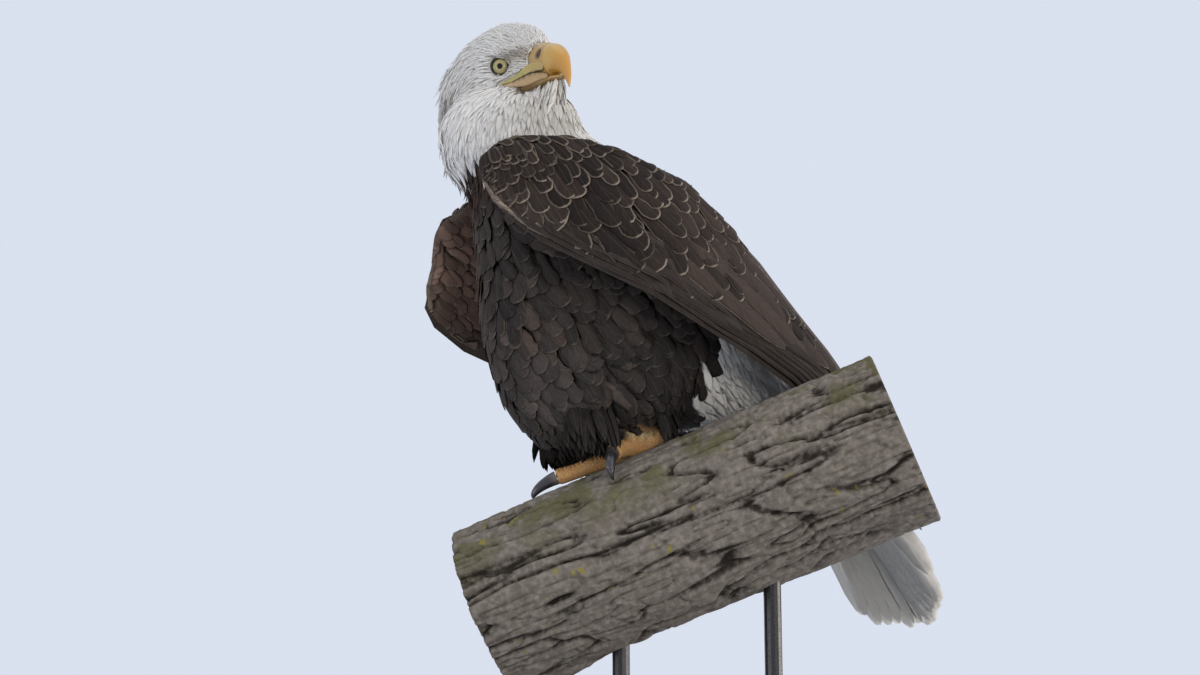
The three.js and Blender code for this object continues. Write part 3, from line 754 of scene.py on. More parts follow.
# ---------------------------------------------------------------- bill and cere
# The horny bill is 40 mm deep at its root, and its upper half hooks well over the lower one. The soft
# cere that joins it to the face holds the slanting nostrils, and a fleshy yellow gape runs back below
# the eyes.
# stations along each part, in the head's axes: x, y, z, half-width, height and depth
CERE = ((0, -27, 0, 14.6, 19.4, 15.4), (0, -39, 1, 13.3, 19.4, 16.4), (0, -50.4, 0, 12.1, 16.7, 16.8))
UPPER = (
    (0, -49.6, 0, 11.8, 16.3, 16.7), (0, -56, -1.2, 10.9, 15, 16.4), (0, -61, -3.6, 9.5, 13, 15),
    (0, -66, -8, 7.4, 10.7, 11.5), (0, -71, -15, 5, 7, 6.8), (0, -75, -24, 3.1, 3.4, 3.6),
    (0, -77, -35, 0.5, 0.5, 0.6),
)
LOWER = (
    (0, -4, -20, 16, 3.5, 6), (0, -20, -19.4, 14.6, 3.6, 5), (0, -36, -19.2, 12.4, 3.5, 4.4),
    (0, -50, -19.8, 9.8, 3.0, 3.6), (0, -61, -20.8, 6.7, 2.2, 2.6), (0, -69, -22, 2.8, 1, 1.2),
)
# the nostril's place, how far it leans back in radians, and its half sizes
NOSTRIL = np.array((0, -43.9, 6.2))
NOSTRIL_SLANT = 0.62
NOSTRIL_BREADTH, NOSTRIL_LENGTH = 4.2, 5.2


def curve(keys, share):
    """A smooth curve through evenly spaced keys, at shares of its length from 0 to 1."""
    keys = np.asarray(keys, float)
    keys = np.vstack([2 * keys[0] - keys[1], keys, 2 * keys[-1] - keys[-2]])
    place = np.clip(np.asarray(share, float) * (len(keys) - 3), 0, len(keys) - 3 - 1e-9)
    i = place.astype(int)
    f = (place - i)[..., None]
    a, b, c, d = (keys[i + k] for k in range(4))
    return 0.5 * (2 * b + (c - a) * f + (2 * a - 5 * b + 4 * c - d) * f**2 + (3 * b - 3 * c + d - a) * f**3)


def ahead_on(keys, share):
    """The direction of a curve through keys whose first three numbers are x, y and z."""
    after, before = np.minimum(share + 0.01, 1), np.maximum(share - 0.01, 0)
    ahead = unit(curve(keys, after) - curve(keys, before))
    return unit(ahead[..., :3])


def lofted(stations, up, rings, sides, power=2.0):
    """Rings of points round a curve. A station is x, y, z, half-width, height and depth."""
    share = (1 - np.cos(np.pi * np.linspace(0, 1, rings))) / 2
    at = curve(stations, share)
    ahead = ahead_on(stations, share)
    wide = unit(np.cross(ahead, up))
    tall = np.cross(wide, ahead)
    turn = 2 * np.pi * np.arange(sides) / sides
    c, s = (np.sign(w) * np.abs(w) ** (2 / power) for w in (np.cos(turn), np.sin(turn)))
    high = np.where(s > 0, at[:, 4:5], at[:, 5:6]) * s
    points = at[:, None, :3] + wide[:, None] * (c * at[:, 3:4])[..., None] + tall[:, None] * high[..., None]
    return points, share


def horn(name, roughness, tones):
    made = Finish(name, roughness, Coat_Weight=0.35, Coat_Roughness=0.2)
    back, front = tones
    streaks = made.noise(55, 5)
    tint = made.mix(made.ramp(made.attribute("front"), 0.05, 0.75), back, front)
    tint = made.mix(made.maths("MULTIPLY", made.ramp(streaks, 0.45, 0.75), 0.35), tint, (0.50, 0.40, 0.20))
    # painted shade and stain: dark brown in the nostrils, at the cere's seam, along the mouth line and
    # under the bills, mottled under the upper bill
    tint = made.mix(made.maths("MULTIPLY", made.attribute("shade_and_stain"), 0.85), tint, (0.050, 0.026, 0.012))
    made.colour(tint)
    made.bump(made.noise(130, 5), 0.00025, 0.6)
    return made


bill_finish = horn("bill_horn", 0.30, ((0.475, 0.295, 0.066), (0.48, 0.232, 0.030)))
cere_finish = horn("cere_skin", 0.42, ((0.335, 0.305, 0.090), (0.37, 0.232, 0.068)))
lower_finish = horn("lower_horn", 0.38, ((0.37, 0.25, 0.125), (0.38, 0.235, 0.090)))

points, share = lofted(CERE, (0, 0, 1), 40, 64, 2.3)
slant = points - NOSTRIL
across = slant[..., 1] * np.cos(NOSTRIL_SLANT) + slant[..., 2] * np.sin(NOSTRIL_SLANT)
along = slant[..., 2] * np.cos(NOSTRIL_SLANT) - slant[..., 1] * np.sin(NOSTRIL_SLANT)
hole = 1 - step_between(0.55, 1.15, np.hypot(across / NOSTRIL_BREADTH, along / NOSTRIL_LENGTH))
notch = np.exp(-(((points[..., 1] + 41) / 1.6) ** 2 + ((np.abs(points[..., 0]) - 5.0) / 2.2) ** 2))
notch = notch * (points[..., 2] > 5)
seam = np.exp(-(((points[..., 1] + 49.5) / 0.8) ** 2 + ((points[..., 2] - 11) / 2.4) ** 2))
points[..., 0] -= np.sign(points[..., 0]) * 3.2 * hole
points += ripple(points / 4, 5)[..., None] * 0.15
cere = piece("cere_skin", from_head(points.reshape(-1, 3)), *capped(points), finish=cere_finish)
write(cere.data, "front", np.broadcast_to(0.35 + 0.65 * share[:, None], points.shape[:2]))
# painted shade in the nostril, in a groove beside it and at the seam with the bill
write(cere.data, "shade_and_stain", np.clip(hole * 1.7 + notch + 0.8 * seam, 0, 1.3))
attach(cere, "root")
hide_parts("cere")

points, share = lofted(UPPER, (0, -0.6, 0.8), 72, 48, 2.2)
under = step_between(-4, -12, points[..., 2] - curve(UPPER, share)[:, None, 2])
points[..., 2] -= 0.9 * under * np.sin(np.pi * np.clip(share[:, None] / 0.45, 0, 1)) ** 2
points += 0.12 * ripple(points * (0.1, 0.5, 0.25), 9)[..., None] * (1 - share[:, None, None])
upper = piece("bill_upper_horn", from_head(points.reshape(-1, 3)), *capped(points), finish=bill_finish)
write(upper.data, "front", np.broadcast_to(share[:, None], points.shape[:2]))
# painted shade under the rear half of the upper bill, broken into mottled stain
write(upper.data, "shade_and_stain", under * step_between(0.0, 1.0, ripple(points / 2.2, 4)) * (share[:, None] < 0.5))
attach(upper, "root")
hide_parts("bill_upper")

points, share = lofted(LOWER, (0, 0, 1), 48, 32, 2.0)
lower = piece("bill_lower_horn", from_head(points.reshape(-1, 3)), *capped(points), finish=lower_finish)
write(lower.data, "front", np.broadcast_to(share[:, None], points.shape[:2]))
# painted shade along the bottom of the lower bill
write(lower.data, "shade_and_stain", step_between(-24.5, -26.5, points[..., 2]) * 0.7)
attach(lower, "root")
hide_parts("bill_lower")

# the fleshy ridges of the gape: x, y and z along each, then its height and depth, or one size for both
GAPE = {
    "upper": ((29.6, 0, -15.4, 0.6), (27.2, -8, -14.5, 1.3), (23.4, -15, -12.8, 2.3), (20.8, -21, -11, 3.2),
              (18.2, -29, -8.3, 4.1), (15.4, -36, -6.2, 5.0), (12.9, -43, -6.6, 4.8),
              (10.2, -50, -7.2, 4.2)),
    "lower": ((29.0, -1, -16.2, 0.4, 0.8), (26.2, -9, -15.9, 0.4, 2.6), (21.9, -18, -15.2, 0.5, 5.4),
              (18.2, -27, -13.6, 0.6, 8.6), (14.9, -37, -12.4, 0.6, 9.4), (12.2, -46, -14.0, 0.6, 7.0),
              (9.0, -55, -17.0, 0.6, 4.0)),
}
for side_name, side in SIDES.items():
    for name, keys in GAPE.items():
        keys = [(side * x, y, z, min(1.3, tall[-1]), tall[0], tall[-1]) for x, y, z, *tall in keys]
        points, share = lofted(keys, (0, 0, 1), 60, 20, 2.4)
        points += (ripple(points / 1.8, 6) * 0.20)[..., None]
        gape = piece(f"gape_{name}_{side_name}", from_head(points.reshape(-1, 3)), *capped(points),
                     finish=cere_finish if name == "upper" else lower_finish)
        write(gape.data, "front", np.broadcast_to(share[:, None] * 0.5, points.shape[:2]))
        at = curve(keys, share)
        up = points[..., 2] - at[:, None, 2]
        inner = -up / at[:, None, 5] if name == "upper" else 1 + (up - at[:, None, 4]) / 2.5
        # painted shade on the faces of the gape that meet along the mouth line
        write(gape.data, "shade_and_stain", step_between(0.60, 0.95, inner + 0.25 * ripple(points / 2.2, 2)))
        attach(gape, "root")

# ---------------------------------------------------------------- claws
# Eight long black claws, hooked round the branch. They are horn, glossy along the top and worn grey
# where they leave the toes.
CLAW_ROOM = 1.0
CLAW_BEND = np.radians(100)
LONG_TOE = 60
SHORT_REACH, LONG_REACH = 21.8, 26.8
POINT_RISE = 1.3
claw_finish = Finish("claw_horn", 0.22, Coat_Weight=0.4, Coat_Roughness=0.12)
ridges = claw_finish.noise(420, 4)
tint = claw_finish.mix(ridges, (0.010, 0.010, 0.012), (0.034, 0.033, 0.036))
worn = claw_finish.maths("MULTIPLY", claw_finish.ramp(claw_finish.attribute("front"), 0.18, 0.0), 0.6)
claw_finish.colour(claw_finish.mix(worn, tint, (0.16, 0.14, 0.12)))
claw_finish.bump(ridges, 0.0002, 0.5)
for foot in FEET:
    for number, toe in enumerate(TOES[foot], 1):
        t = np.linspace(0, 1, 9)
        reach = SHORT_REACH if toe[1] < LONG_TOE else LONG_REACH
        start = TOE_RADIUS * 0.95 + 0.35 + toe[2] - 8
        out = toe[1] + CLAW_ROOM + reach * np.sin(CLAW_BEND * t)
        fall = (1 - np.cos(CLAW_BEND * t)) / (1 - np.cos(CLAW_BEND))
        rise = POINT_RISE + (start - POINT_RISE) * (1 - fall)
        thick = (6.3 * (1 - t) ** 0.7 + 0.35) / 1000
        middle = toe_place(foot, toe, out, rise)
        keys = np.column_stack([middle, thick * 0.8, thick, thick])
        points, share = lofted(keys, outward, 44, 20, 2.1)
        claw = piece(f"claw_horn_{foot}_{number}", points.reshape(-1, 3), *capped(points),
                     finish=claw_finish)
        write(claw.data, "front", np.broadcast_to(share[:, None], points.shape[:2]))
        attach(claw, "root")
        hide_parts(f"claw_{foot}_{number}")

# ---------------------------------------------------------------- feathers of the body
# Contour feathers, each a thin curved vane on its own shaft, rooted in the skin and lying back over
# the next. They are tiny on the face, long and narrow on the neck, and broad and round on the wings.
rng = np.random.default_rng(11)
FALL = np.array((0.0, 0.69, -0.72))

# the wing as it lies folded: x, y, z of its middle, half its breadth and half its thickness
WINGS = {
    "left": (
        (92, -176, 257, 8, 6), (95, -164, 258, 27, 13), (101, -136, 251, 50, 17), (108, -92, 237, 65, 16),
        (112, -44, 222, 74, 14), (108, 6, 206, 78, 13), (95, 52, 183, 78, 12), (76, 101, 156, 68, 11),
        (58, 147, 128, 48, 9), (47, 186, 101, 34, 6), (39, 218, 74, 21, 3),
    ),
    "right": (
        (92, -160, 243, 10, 6), (95, -154, 243, 36, 13), (101, -137, 238, 68, 17),
        (106, -114, 228, 79, 17), (110, -78, 212, 78, 16), (112, -36, 197, 78, 14), (108, 14, 180, 77, 13),
        (95, 62, 157, 72, 12), (76, 116, 129, 60, 10), (57, 164, 101, 43, 8), (42, 212, 67, 21, 3),
    ),
}
# the way that its outer face looks, from wrist to tip
WING_FACES = ((0.95, -0.3, 0.1), (0.95, -0.05, 0.2), (0.92, 0.05, 0.35), (0.85, 0.15, 0.5),
              (0.8, 0.2, 0.55))
WING_LENGTH = 455
MIRROR = {"left": np.array((1, 1, 1)), "right": np.array((-1, 1, 1))}


def wing_frame(name, s):
    """The middle, half-breadth, half-thickness, downward and outward directions along a wing."""
    at = curve(WINGS[name], s)
    ahead = ahead_on(WINGS[name], s)
    down = unit(np.cross(ahead, curve(WING_FACES, s)))
    out = np.cross(down, ahead)
    return at[..., :3], at[..., 3], at[..., 4], down, out


def on_wing(name, s, v, lift):
    """Places over a folded wing: s from wrist to tip, v from -1 at its top edge to 1 at its bottom."""
    s, v = np.broadcast_arrays(np.asarray(s, float), np.asarray(v, float))
    middle, breadth, thickness, down, out = wing_frame(name, s)
    high = thickness * np.sqrt(np.maximum(1 - np.abs(v) ** 2.3, 0)) + lift
    place = middle + down * (breadth * v)[..., None] + out * high[..., None]
    return BIRD_AT + place * MIRROR[name] / 1000, out * MIRROR[name]


# where each point of the skin of a wing lies over it, and how its feathers turn down across it
WING_TURN = ((0, 0.1, 0.2, 0.35, 0.6, 0.8, 1), (105, 76, 52, 34, 24, 12, 4))
s_line = np.linspace(0, 1, 120)
wing_s, wing_v = np.zeros(len(skin_points)), np.zeros(len(skin_points))
wing_lie = np.zeros((len(skin_points), 3))
outer_wing = np.zeros(len(skin_points), bool)
for name in WINGS:
    middle, breadth, thickness, down, out = wing_frame(name, s_line)
    chosen = np.flatnonzero(share_in("wing_" + name) > 0.02)
    local = on_bird[chosen] * MIRROR[name]
    ahead = unit(np.gradient(middle, axis=0))
    off = local[:, None] - middle[None]
    closest = (np.abs((off * ahead[None]).sum(2)) + 0.02 * np.linalg.norm(off, axis=2)).argmin(1)
    off = local - middle[closest]
    wing_s[chosen] = s_line[closest]
    wing_v[chosen] = (off * down[closest]).sum(1) / breadth[closest]
    outer_wing[chosen] = (off * out[closest]).sum(1) > 0
    turn = np.radians(np.interp(s_line[closest], *WING_TURN))
    turn = turn * (1 - 0.55 * step_between(-0.35, -1.0, wing_v[chosen]))
    turn = np.where(outer_wing[chosen], turn, 0.1)[:, None]
    wing_lie[chosen] = (ahead[closest] * np.cos(turn) + down[closest] * np.sin(turn)) * MIRROR[name]

FACE_FRONT = (0, -48, -2)  # the head's feathers all lie away from here
# where each region's feathers start and end, then their length, width, spacing and pale edge there
TRACTS = {
    "head": (from_head((0, -34, 6)), from_head((0, 96, -26)), (5.5, 2.1, 1.3, 0), (28, 6.6, 2.9, 0)),
    "neck": (bird(-25, -112, 360), bird(2, -96, 285), (30, 7.0, 2.7, 0), (46, 10.0, 3.7, 0)),
    "trunk": (bird(0, -100, 290), bird(0, 60, 60), (30, 18, 8.5, 0.34), (42, 24, 11, 0.16)),
    "wing_left": (bird(98, -170, 258), bird(112, 0, 200), (27, 12, 5.2, 0.4), (34, 15, 7, 0.3)),
    "wing_right": (bird(-98, -156, 246), bird(-112, 0, 190), (27, 12, 5.2, 0.4), (34, 15, 7, 0.3)),
    "thigh_left": (bird(45, 20, 112), bird(26, 8, 48), (34, 14, 7.5, 0.15), (22, 7, 4.2, 0.1)),
    "thigh_right": (bird(-45, 20, 104), bird(-44, 16, 26), (34, 14, 7.5, 0.15), (22, 7, 4.2, 0.1)),
    "tail": (TAIL_ROOT, TAIL_ROOT + 0.09 * tail_along, (46, 19, 8.5, 0), (60, 24, 10, 0)),
}


def tract_fields(points):
    """The lie and the four sizes of the feathers at points on the skin."""
    lies = np.zeros((len(points), 3))
    sizes = np.zeros((len(points), 4))
    total = np.zeros((len(points), 1))
    for name, (first, last, young, old) in TRACTS.items():
        weight = share_in(name)[:, None]
        t = np.clip((points - first) @ (last - first) / ((last - first) @ (last - first)), 0, 1)[:, None]
        if name == "head":
            off = to_head(points) - FACE_FRONT
            sink = 0.95 * step_between(58, 118, np.linalg.norm(off, axis=1))[:, None]
            lie = unit((1 - sink) * unit(off) + sink * np.array((0, 0.25, -1))) @ head_axes.T
        elif name == "neck":
            off = points - bird(10, -92, 320)
            lie = np.column_stack([off[:, 0] * 6, off[:, 1] * 6, np.full(len(points), -1.0)])
        elif name == "trunk":
            lie = np.broadcast_to(FALL, points.shape)
        elif name.startswith("wing"):
            lie = wing_lie
        elif name.startswith("thigh"):
            lie = np.broadcast_to(np.array((0, 0.2, -1.0)), points.shape)
        else:
            lie = np.broadcast_to(tail_along, points.shape)
        lies += weight * unit(lie)
        sizes += weight * (np.array(young) * (1 - t) + np.array(old) * t)
        total += weight
    return lies, sizes / np.maximum(total, 1e-6), total[:, 0]


lies, sizes, feathered = tract_fields(skin_points)
DOWNY_SIZES, LOW_SIZES = (32, 10.5, 4.4, 0), (19, 11, 5.5, 0.08)
downy = (white * share_in("trunk"))[:, None]
sizes = sizes + downy * (DOWNY_SIZES - sizes)
low = (1 - step_between(46, 82, on_bird[:, 2])) * (share_in(*TRUNK) * (1 - downy[:, 0]))
sizes = sizes + low[:, None] * (LOW_SIZES - sizes)
skin_normals = unit(spread(skin_normals, 2))
lies = spread(lies, 25)
lies = unit(lies - (lies * skin_normals).sum(1, keepdims=True) * skin_normals)
coat_depth = np.maximum(depth, 0.0008)
all_triangles = np.concatenate([skin_quads[:, :3], skin_quads[:, [0, 2, 3]], skin_triangles])
skin_tree = BVHTree.FromPolygons(skin_points.tolist(), all_triangles.tolist())


def on_skin(places):
    """The nearest places on the skin, the triangles they are in and the weights of its corners."""
    found = [skin_tree.find_nearest(place) for place in places.tolist()]
    at = np.array([hit[0] for hit in found])
    number = np.array([hit[2] for hit in found])
    a, b, c = (skin_points[all_triangles[number, k]] for k in range(3))
    facing = np.cross(b - a, c - a)
    whole = np.maximum((facing * facing).sum(1), 1e-18)
    first = (np.cross(b - at, c - at) * facing).sum(1) / whole
    second = (np.cross(c - at, a - at) * facing).sum(1) / whole
    return at, number, np.clip(np.stack([first, second, 1 - first - second], -1), 0, 1)


def read(values, number, weight):
    """Values kept on the skin's points, at places within its triangles."""
    if values.ndim == 1:
        values = values[:, None]
    return (values[all_triangles[number]] * weight[..., None]).sum(1)


# the skin's own unwrap, so that each feather knows its root's place on it
bpy.context.view_layer.objects.active = skin
skin.select_set(True)
skin.data.uv_layers.new(name="OFBake")
bpy.ops.object.mode_set(mode="EDIT")
bpy.ops.mesh.select_all(action="SELECT")
bpy.ops.uv.smart_project(angle_limit=np.radians(66), island_margin=0.002)
bpy.ops.object.mode_set(mode="OBJECT")
flat = np.empty(2 * len(skin.data.loops), np.float32)
skin.data.uv_layers["OFBake"].data.foreach_get("uv", flat)
flat = flat.reshape(-1, 2)
of_quads = flat[:4 * len(skin_quads)].reshape(-1, 4, 2)
of_triangles = flat[4 * len(skin_quads):].reshape(-1, 3, 2)
skin_unwrap = np.concatenate([of_quads[:, :3], of_quads[:, [0, 2, 3]], of_triangles])


def plumage(name, edge_tone, streak, roughness, through):
    """Fine slanting barbs on either side of a darker shaft, with a worn border of the edge's tone."""
    made = Finish(name, roughness, Specular_IOR_Level=0.10, Subsurface_Weight=through,
                  Subsurface_Scale=0.004, Subsurface_Radius=(1.0, 0.9, 0.8))
    across = made.maths("ABSOLUTE", made.attribute("across"))
    slanted = made.maths("SUBTRACT", made.attribute("along"), made.maths("MULTIPLY", across, 1.3))
    barb = made.node("CombineXYZ")
    made.wire(slanted, barb.inputs[0])
    made.wire(made.maths("MULTIPLY", across, 0.12), barb.inputs[1])
    made.wire(made.attribute("seed"), barb.inputs[2])
    barbs = made.noise(900, 3, barb.outputs[0], 0.7)
    clumps = made.noise(230, 3, barb.outputs[0], 0.6)
    tint = made.mix(made.ramp(barbs, 0.3, 0.7), (1 - streak,) * 3, (1 + 0.7 * streak,) * 3)
    tint = made.mix(1.0, made.attribute("dye", "Color"), tint, "MULTIPLY")
    broad_tint = made.mix(made.ramp(clumps, 0.3, 0.75), (1 - streak,) * 3, (1 + streak,) * 3)
    tint = made.mix(0.6, tint, broad_tint, "MULTIPLY")
    shaft = made.maths("MULTIPLY", made.ramp(across, 0.0005, 0.0002), 0.14)
    tint = made.mix(shaft, tint, tuple(0.7 * c for c in edge_tone))
    worn = made.maths("MULTIPLY", made.ramp(clumps, 0.3, 0.7), -0.0006)
    inset = made.maths("ADD", made.attribute("inset"), worn)
    border = made.maths("POWER", made.ramp(inset, 0.0026, 0.0), 1.7)
    tint = made.mix(made.maths("MULTIPLY", border, made.attribute("edge")), tint, edge_tone)
    made.colour(tint)
    made.bump(barbs, 0.00025, 0.55)
    return made


brown_plumage = plumage("brown_plumage", (0.235, 0.190, 0.150), 0.24, 0.75, 0.0)
white_plumage = plumage("white_plumage", (0.80, 0.78, 0.73), 0.06, 0.85, 0.35)
# the outlines of a vane: shares of its length, and the half-width there as a share of the widest
ROUND = (np.array([0, 0.28, 0.52, 0.70, 0.82, 0.91, 0.97, 1.0]),
         np.array([0.45, 0.82, 0.98, 1.02, 0.99, 0.84, 0.56, 0.20]))
LANCE = (np.array([0, 0.22, 0.45, 0.68, 0.86, 1.0]), np.array([0.45, 0.90, 1.0, 0.80, 0.45, 0.04]))
# the most triangles in one mesh, and half the side of each vane's patch on the skin's unwrap
MOST_TRIANGLES = 195000
HALF_PATCH = 0.0015


def trace(number, weight, lengths, halves, shape, columns, lift, ruffle, broad, loose):
    """Grids of points for vanes that run over the skin from their roots along its lie."""
    shares, widths = shape
    count = len(number)
    at = read(skin_points, number, weight)
    wander = rng.normal(0, loose, count)[:, None]
    roll = rng.normal(0, 0.05, count)[:, None]
    shift = rng.uniform(0, 1, count)[:, None]
    ragged = rng.uniform(1 - loose, 1.1, (len(shares), count, 2))
    grid = np.empty((count, len(shares), columns, 3))
    heading = None
    before = 0.0
    for row, (share, width) in enumerate(zip(shares, widths)):
        if row:
            at, number, weight = on_skin(at + heading * ((share - before) * lengths)[:, None])
        before = share
        normal = unit(read(skin_normals, number, weight))
        lie = read(lies, number, weight)
        lie = lie + np.cross(normal, lie) * wander
        heading = unit(lie if heading is None else 0.45 * heading + 0.55 * unit(lie))
        heading = unit(heading - (heading * normal).sum(1, keepdims=True) * normal)
        side = np.cross(heading, normal)
        room = read(coat_depth, number, weight)
        rise = 0.52 * step_between(0, 0.35, share) + 0.38 * share
        high = 0.0003 + room * lift * (rise + 0.05 * shift) + ruffle[:, None] * share**2
        half = (halves * width)[:, None]
        middle = at + normal * high
        for sign, first in ((-1, 0), (1, columns - 1)):
            wide = half * ragged[row, :, (sign + 1) // 2][:, None]
            if broad:
                spot, n, w = on_skin(at + sign * side * wide)
                out = unit(read(skin_normals, n, w))
                grid[:, row, first] = spot + out * (high - 0.05 * wide + sign * roll * wide)
            else:
                grid[:, row, first] = middle + side * sign * wide + normal * (sign * roll - 0.09) * wide
        left, right = grid[:, row, 0], grid[:, row, -1]
        for column in range(1, columns - 1):
            u = 2 * column / (columns - 1) - 1
            edge = left if u < 0 else right
            arch = 0.03 * (1 - abs(u)) * half + 0.0002
            grid[:, row, column] = middle * (1 - abs(u)) + edge * abs(u) + normal * arch
    return grid


def vanes(name, grid, unwrap, lengths, halves, shape, dye, edge, finish):
    """One mesh of closed vanes, with what their colouring needs kept on their points."""
    count, rows, columns = grid.shape[:3]
    triangles = 2 * columns * (rows - 1) + 2 * (columns - 2)
    if count > MOST_TRIANGLES // triangles:
        half_way = count // 2
        for part, cut in (("a", slice(0, half_way)), ("b", slice(half_way, None))):
            vanes(f"{name}_{part}", grid[cut], unwrap[cut], lengths[cut], halves[cut], shape, dye[cut],
                  edge[cut], finish)
        return
    first = (rows * columns * np.arange(count))[:, None, None]
    r, c = (m.ravel() for m in np.meshgrid(np.arange(rows - 1), np.arange(columns - 1), indexing="ij"))
    spot = r * columns + c
    top = np.stack([spot, spot + 1, spot + 1 + columns, spot + columns], -1)
    k = np.arange(rows - 1) * columns
    last = columns - 1
    under = np.stack([k, k + columns, k + columns + last, k + last], -1)
    quads = (first + np.concatenate([top, under])).reshape(-1, 4)
    ends = np.stack([np.arange(columns)[::-1], (rows - 1) * columns + np.arange(columns)])
    made = piece(name, grid.reshape(-1, 3), quads, (first + ends).reshape(-1, columns), finish=finish)
    mesh = made.data
    u = np.linspace(-1, 1, columns)[None, None, :]
    t, width = shape[0][None, :, None], shape[1][None, :, None]
    size = (count, rows, columns)
    half, length = halves[:, None, None], lengths[:, None, None]
    from_side = (1 - np.abs(u)) * half * width
    inset = np.minimum(from_side, (1 - t) * length)
    for key, values in (("across", u * half * width), ("along", t * length), ("inset", inset),
                        ("edge", edge[:, None, None]), ("seed", rng.uniform(0, 50, count)[:, None, None])):
        write(mesh, key, np.broadcast_to(values, size))
    tinted = np.concatenate([dye, np.ones((count, 1))], 1)[:, None, None]
    write(mesh, "dye", np.broadcast_to(tinted, (*size, 4)), "FLOAT_COLOR")
    patch = np.stack(np.broadcast_arrays(HALF_PATCH * u, HALF_PATCH * (2 * t - 1)), -1)
    flat = (unwrap[:, None, None] + patch).reshape(-1, 2)
    corners = np.empty(len(mesh.loops), np.int32)
    mesh.loops.foreach_get("vertex_index", corners)
    mesh.uv_layers.new(name="OFBake").data.foreach_set("uv", flat[corners].astype(np.float32).ravel())
    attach(made, "root")


# scatter the roots: many seeds, thinned until none is nearer the next than the feathers' spacing.
# The top edge of each folded wing is left open past the place where the back covers it.
TOP_END = {"left": 0.80, "right": 0.54}
triangle_points = skin_points[all_triangles]
areas = 0.5 * np.linalg.norm(np.cross(triangle_points[:, 1] - triangle_points[:, 0],
                                      triangle_points[:, 2] - triangle_points[:, 0]), axis=1)
spacing = np.maximum(sizes[:, 2][all_triangles].mean(1), 1.0) / 1000
open_skin = feathered * (1 - step_between(0.55, 0.8, lore))
height = on_bird[:, 2]
on_thigh = share_in("thigh_left", "thigh_right") > 0.5
open_skin = open_skin * np.where(on_thigh, step_between(50, 58, height), step_between(30, 38, height))
on_lattice = outer_wing & (wing_v > -0.93) & (share_in("wing_left", "wing_right") > 0.5)
open_skin = open_skin * (1 - spread(on_lattice[:, None].astype(float), 2)[:, 0])
open_skin[(on_bird[:, 1] > 28) & (height < 54) & (white < 0.5)] = 0
open_skin[(share_in("wing_right") > 0.3) & (wing_s > TOP_END["right"]) & (wing_v < -0.5)] = 0
chance = open_skin[all_triangles].mean(1)
chance[chance < 0.35] = 0
wanted = 5.0 * areas / spacing**2 * np.minimum(chance, 1)
seeds = rng.poisson(wanted)
number = np.repeat(np.arange(len(seeds)), seeds)
weight = rng.dirichlet((1, 1, 1), len(number))
roots = read(skin_points, number, weight)
order = rng.permutation(len(roots))
tree = KDTree(len(roots))
for i, root in enumerate(roots.tolist()):
    tree.insert(root, i)
tree.balance()
reach = read(sizes[:, 2], number, weight)[:, 0] / 1000
alive = np.ones(len(roots), bool)
kept = []
for i in order.tolist():
    if alive[i]:
        kept.append(i)
        for _, j, _ in tree.find_range(roots[i].tolist(), reach[i]):
            alive[j] = False
kept = np.array(kept)
number, weight, roots = number[kept], weight[kept], roots[kept]
size = read(sizes, number, weight)

# the coverts and scapulars lie in rows along each wing, each row half a feather on from the last
ROWS = (-0.97, -0.85, -0.72, -0.58, -0.43, -0.27, -0.09, 0.12, 0.35, 0.59, 0.84)
# how far down the wing the coverts reach: places along it, then the lowest v there
COVERTS_END = ((0, 0.05, 0.1, 0.16, 0.28, 0.37, 0.47, 0.64, 0.8, 0.9, 1),
               (1.2, 1.0, 0.62, 0.36, 0.66, 0.52, 0.34, 0.16, -0.1, -0.5, -0.9))
row_gaps = np.gradient(np.array(ROWS))
lattice = []
for name in WINGS:
    for row, v in enumerate(ROWS):
        s = 0.012 + 0.01 * (row % 2)
        while s < 0.86:
            room = float(wing_frame(name, np.array(s))[1]) * row_gaps[row]
            step = max(room * 1.6, 8.5) / WING_LENGTH
            limit = np.interp(s, *COVERTS_END)
            hidden = v < -0.5 and s > TOP_END[name]
            if v < limit and (row % 2 == 0 or room > 5.5) and not hidden:
                along = s + rng.normal(0, 0.07) * step
                lattice.append((name == "right", along, v + rng.normal(0, 0.02), room))
            s += step * (1 if s > 0.02 or row % 2 == 0 else 1.5)
lattice = np.array(lattice)
placed = np.empty((len(lattice), 3))
for name, mask in (("left", lattice[:, 0] == 0), ("right", lattice[:, 0] == 1)):
    placed[mask] = on_wing(name, lattice[mask, 1], lattice[mask, 2], -4.0)[0]
placed, row_number, row_weight = on_skin(placed)
wide = np.clip(lattice[:, 3] * 1.95, 10.5, 34)
paleness = (0.75 + 0.35 * (wide > 18)) * (0.35 + 0.65 * step_between(0.03, 0.12, lattice[:, 1]))
row_size = np.column_stack([wide * 2.0, wide, wide, paleness])
number, weight = np.concatenate([number, row_number]), np.concatenate([weight, row_weight])
roots, size = np.concatenate([roots, placed]), np.concatenate([size, row_size])
root_white = read(white, number, weight)[:, 0]
root_region = read(share_of, number, weight).argmax(1)
unwrap = (skin_unwrap[number] * weight[..., None]).sum(1)

# what colour each feather is
DARK, MID, WARM, RUST, SNOW = (np.array(c) for c in (
    (0.0142, 0.0112, 0.0102), (0.027, 0.0200, 0.0170), (0.056, 0.039, 0.031), (0.150, 0.080, 0.050),
    (0.81, 0.79, 0.75)))
